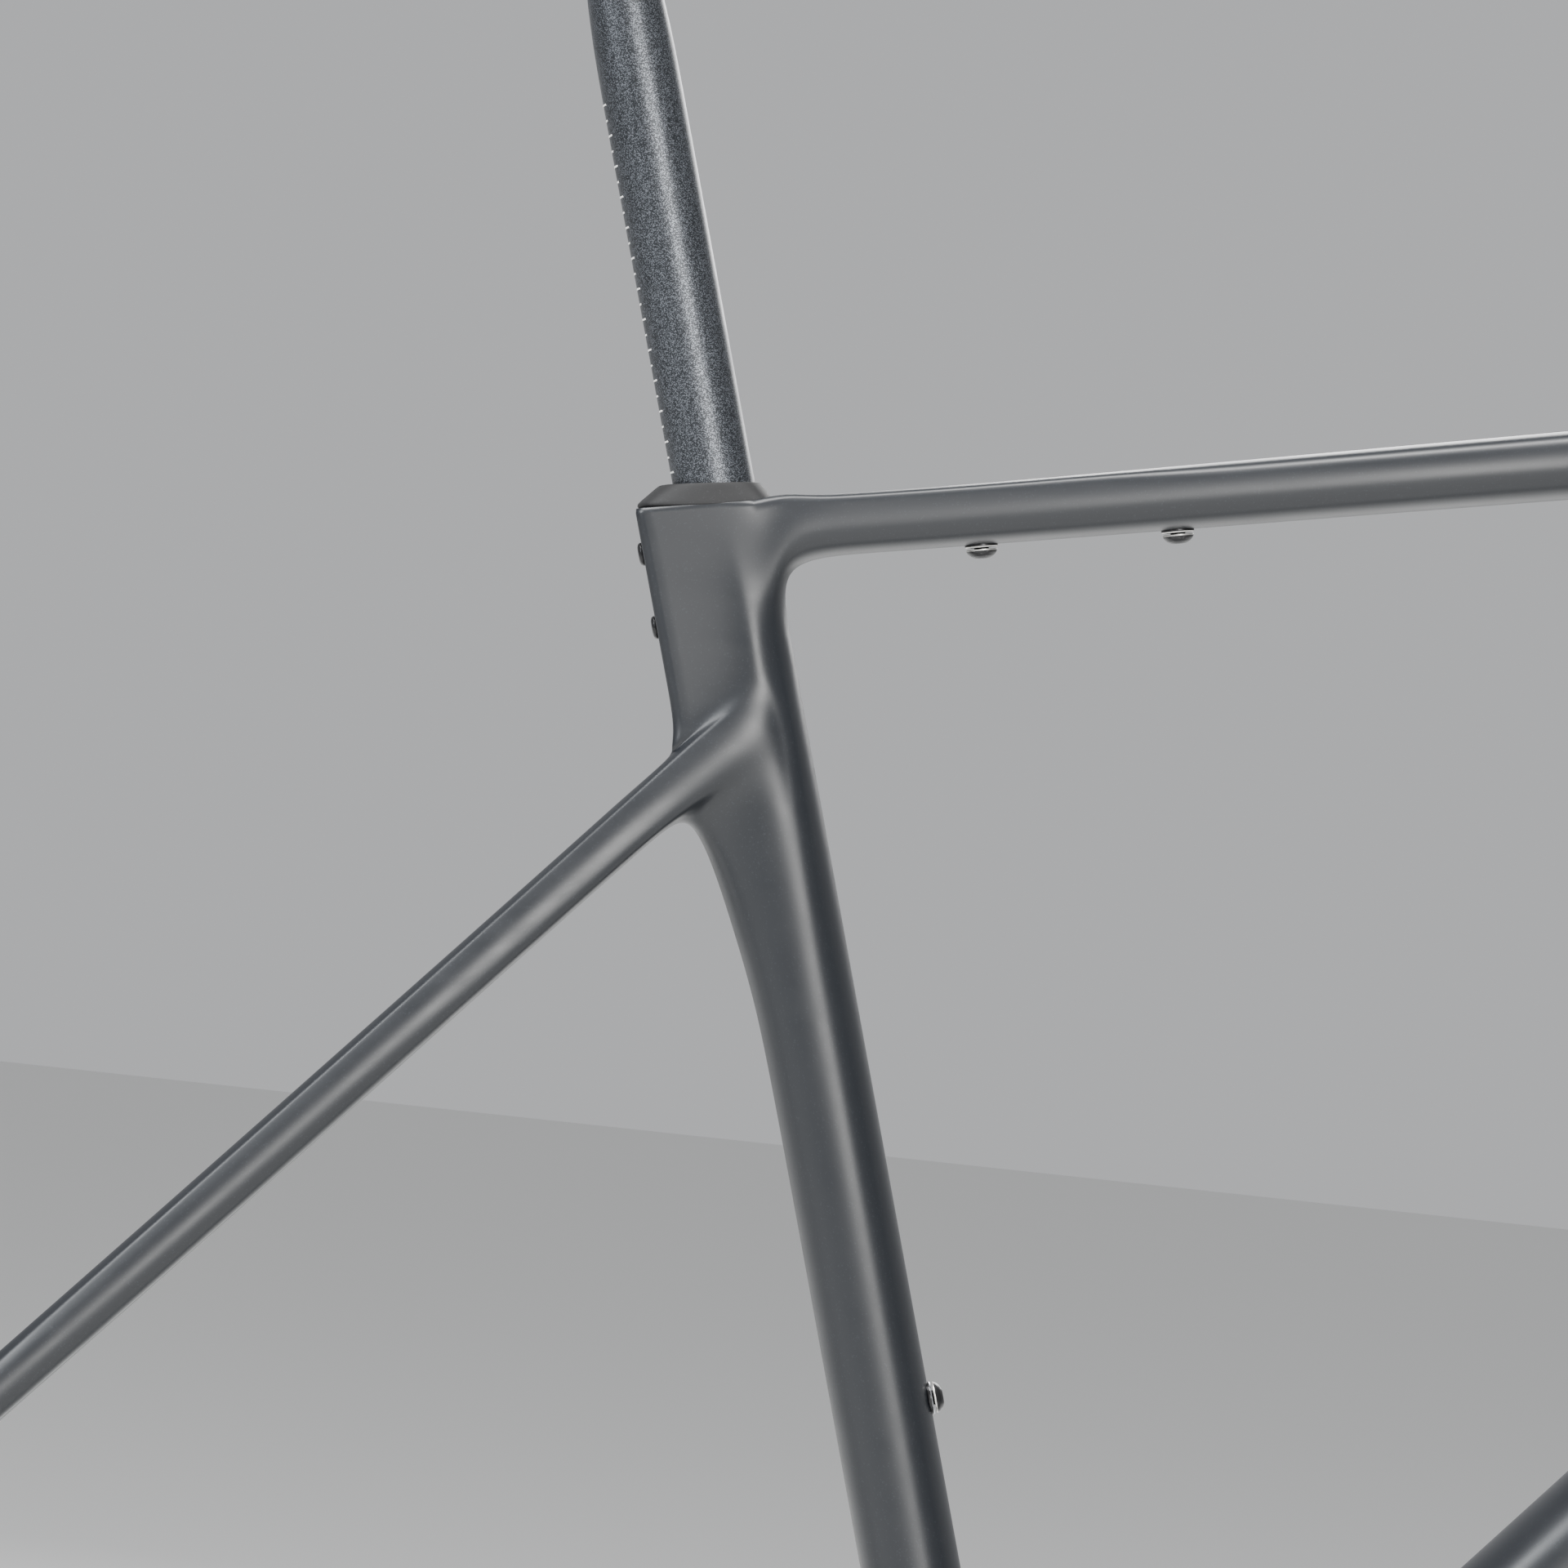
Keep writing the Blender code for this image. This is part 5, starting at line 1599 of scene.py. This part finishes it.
    def build_cable_port(self) -> None:
        """The cover plate under the shell, raised in the middle, and its screw."""
        low, high = (Vector(corner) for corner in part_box("cable_port_cover"))
        mesh = bmesh.new()
        bmesh.ops.create_cube(mesh, size=1.0)
        bmesh.ops.scale(mesh, verts=mesh.verts, vec=high - low)
        bmesh.ops.translate(mesh, verts=mesh.verts, vec=(low + high) / 2.0)
        upright = [e for e in mesh.edges if abs(e.verts[0].co.z - e.verts[1].co.z) > MM]
        bmesh.ops.bevel(mesh, geom=upright, offset=5.0 * MM, segments=6, profile=0.5, affect='EDGES',
                        material=-1)
        mesh.faces.ensure_lookup_table()
        under = min(mesh.faces, key=lambda face: face.calc_center_median().z)
        bmesh.ops.inset_region(mesh, faces=[under], thickness=1.6 * MM, depth=-0.5 * MM)
        bmesh.ops.inset_region(mesh, faces=[under], thickness=0.8 * MM, depth=0.5 * MM)
        cover = make_object(mesh, "cable_port_plate", [Finishes.PLASTIC])
        soften(cover, 0.35, 2)
        fit(cover, "frame_body", "clamp_plastic", "cable_port_cover")
        profile = [(0.0, -6.4), (1.5, -6.4), (1.5, 0.1), (3.0, 0.1), (3.0, 0.9), (2.3, 1.6), (1.15, 1.6),
                   (1.15, 0.5), (0.0, 0.4)]
        Turned("cable_port_screw_head", profile, Vector((0.0, 0.0, low.z)), -UP, Finishes.BLACK_STEEL,
               edge=0.12, socket=1.15, across=LEFT).mount("frame_body", "black_steel", "cable_port_screw")

    def build(self) -> None:
        """Everything behind and under the bottom bracket."""
        self.build_plates()
        self.build_bolts()
        self.build_protector()
        self.build_cable_port()


def dress_hidden_nodes() -> None:
    """Give the CAD nodes that stay, inside the seat tube, their finishes."""
    for node, finish in (("clamp_pad", Finishes.PLASTIC), ("clamp_thread_plate", Finishes.ALLOY)):
        piece = bpy.data.objects[node]
        piece.data.materials.clear()
        piece.data.materials.append(finish.build())


@dataclass
class Studio:
    """Camera, soft lights and floor.

    Args:
        target: the point that the camera and the lamps aim at.
        roll: turn of the camera about its view, in degrees.
        distance: from the camera to the target, in metres.
        view_width: width of the view at the target, in metres.
        sensor: width of the camera's sensor in millimetres.
        floor_height: height of the floor in metres.
    """

    target: Vector = field(default_factory=lambda: Vector((-113.8, 0.0, 401.2)) * MM)
    roll: float = 6.13
    distance: float = 2.5
    view_width: float = 0.505
    sensor: float = 36.0
    floor_height: float = -0.27

    def build_camera(self) -> None:
        """Aim a long lens square at the drive side."""
        camera = bpy.data.cameras.new("camera")
        camera.sensor_width = self.sensor
        camera.lens = self.sensor * self.distance / self.view_width
        camera.clip_end = 50.0
        eye = bpy.data.objects.new("camera", camera)
        turn = math.radians(self.roll)
        right = Vector((math.cos(turn), 0.0, math.sin(turn)))
        rise = Vector((-math.sin(turn), 0.0, math.cos(turn)))
        place = Matrix((right, rise, -LEFT)).transposed().to_4x4()
        eye.matrix_world = Matrix.Translation(self.target - LEFT * self.distance) @ place
        bpy.context.collection.objects.link(eye)
        bpy.context.scene.camera = eye

    def add_light(self, name: str, place: tuple, size: tuple, power: float, colour: tuple) -> None:
        """Hang one softbox and aim it at the seat cluster.

        Args:
            name: the lamp's name.
            place: where it hangs, in metres.
            size: its width and height in metres.
            power: in watts.
            colour: its light's colour.
        """
        data = bpy.data.lights.new(name, 'AREA')
        data.shape = 'RECTANGLE'
        data.size, data.size_y = size
        data.energy = power
        data.color = colour
        lamp = bpy.data.objects.new(name, data)
        lamp.location = place
        aim = Vector(place) - self.target
        lamp.rotation_euler = aim.to_track_quat('Z', 'Y').to_euler()
        bpy.context.collection.objects.link(lamp)

    def build(self) -> None:
        """Make the studio."""
        self.build_camera()
        world = bpy.data.worlds.new("studio")
        world.use_nodes = True
        sky = world.node_tree.nodes["Background"]
        sky.inputs["Color"].default_value = (0.82, 0.83, 0.85, 1.0)
        sky.inputs["Strength"].default_value = 0.62
        bpy.context.scene.world = world
        self.add_light("key", (0.62, -2.90, 0.98), (0.8, 1.1), 92.0, (1.0, 0.99, 0.97))
        self.add_light("overhead", (-0.2, -0.55, 2.5), (2.2, 0.5), 130.0, (1.0, 1.0, 1.0))
        self.add_light("rear_fill", (-1.85, -1.5, 1.6), (0.7, 1.3), 74.0, (0.94, 0.97, 1.0))
        self.add_light("left_fill", (0.6, 2.6, 1.6), (1.6, 1.6), 60.0, (1.0, 1.0, 1.0))
        mesh = bmesh.new()
        bmesh.ops.create_grid(mesh, x_segments=1, y_segments=1, size=12.0)
        bmesh.ops.translate(mesh, verts=mesh.verts, vec=(0.0, 0.0, self.floor_height))
        floor = make_object(mesh, "studio_floor", [Finishes.FLOOR])


def main() -> None:
    """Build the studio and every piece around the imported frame."""
    logging.basicConfig(level=logging.INFO)
    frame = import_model()
    layout = Layout(frame)
    Studio().build()
    FrameSkin(layout).build()
    Seatpost(layout).build()
    ClampCover(layout).build()
    Fasteners(layout).build()
    Bearings(layout).build()
    RearEnd(layout).build()
    dress_hidden_nodes()


if __name__ == "__main__":
    main()
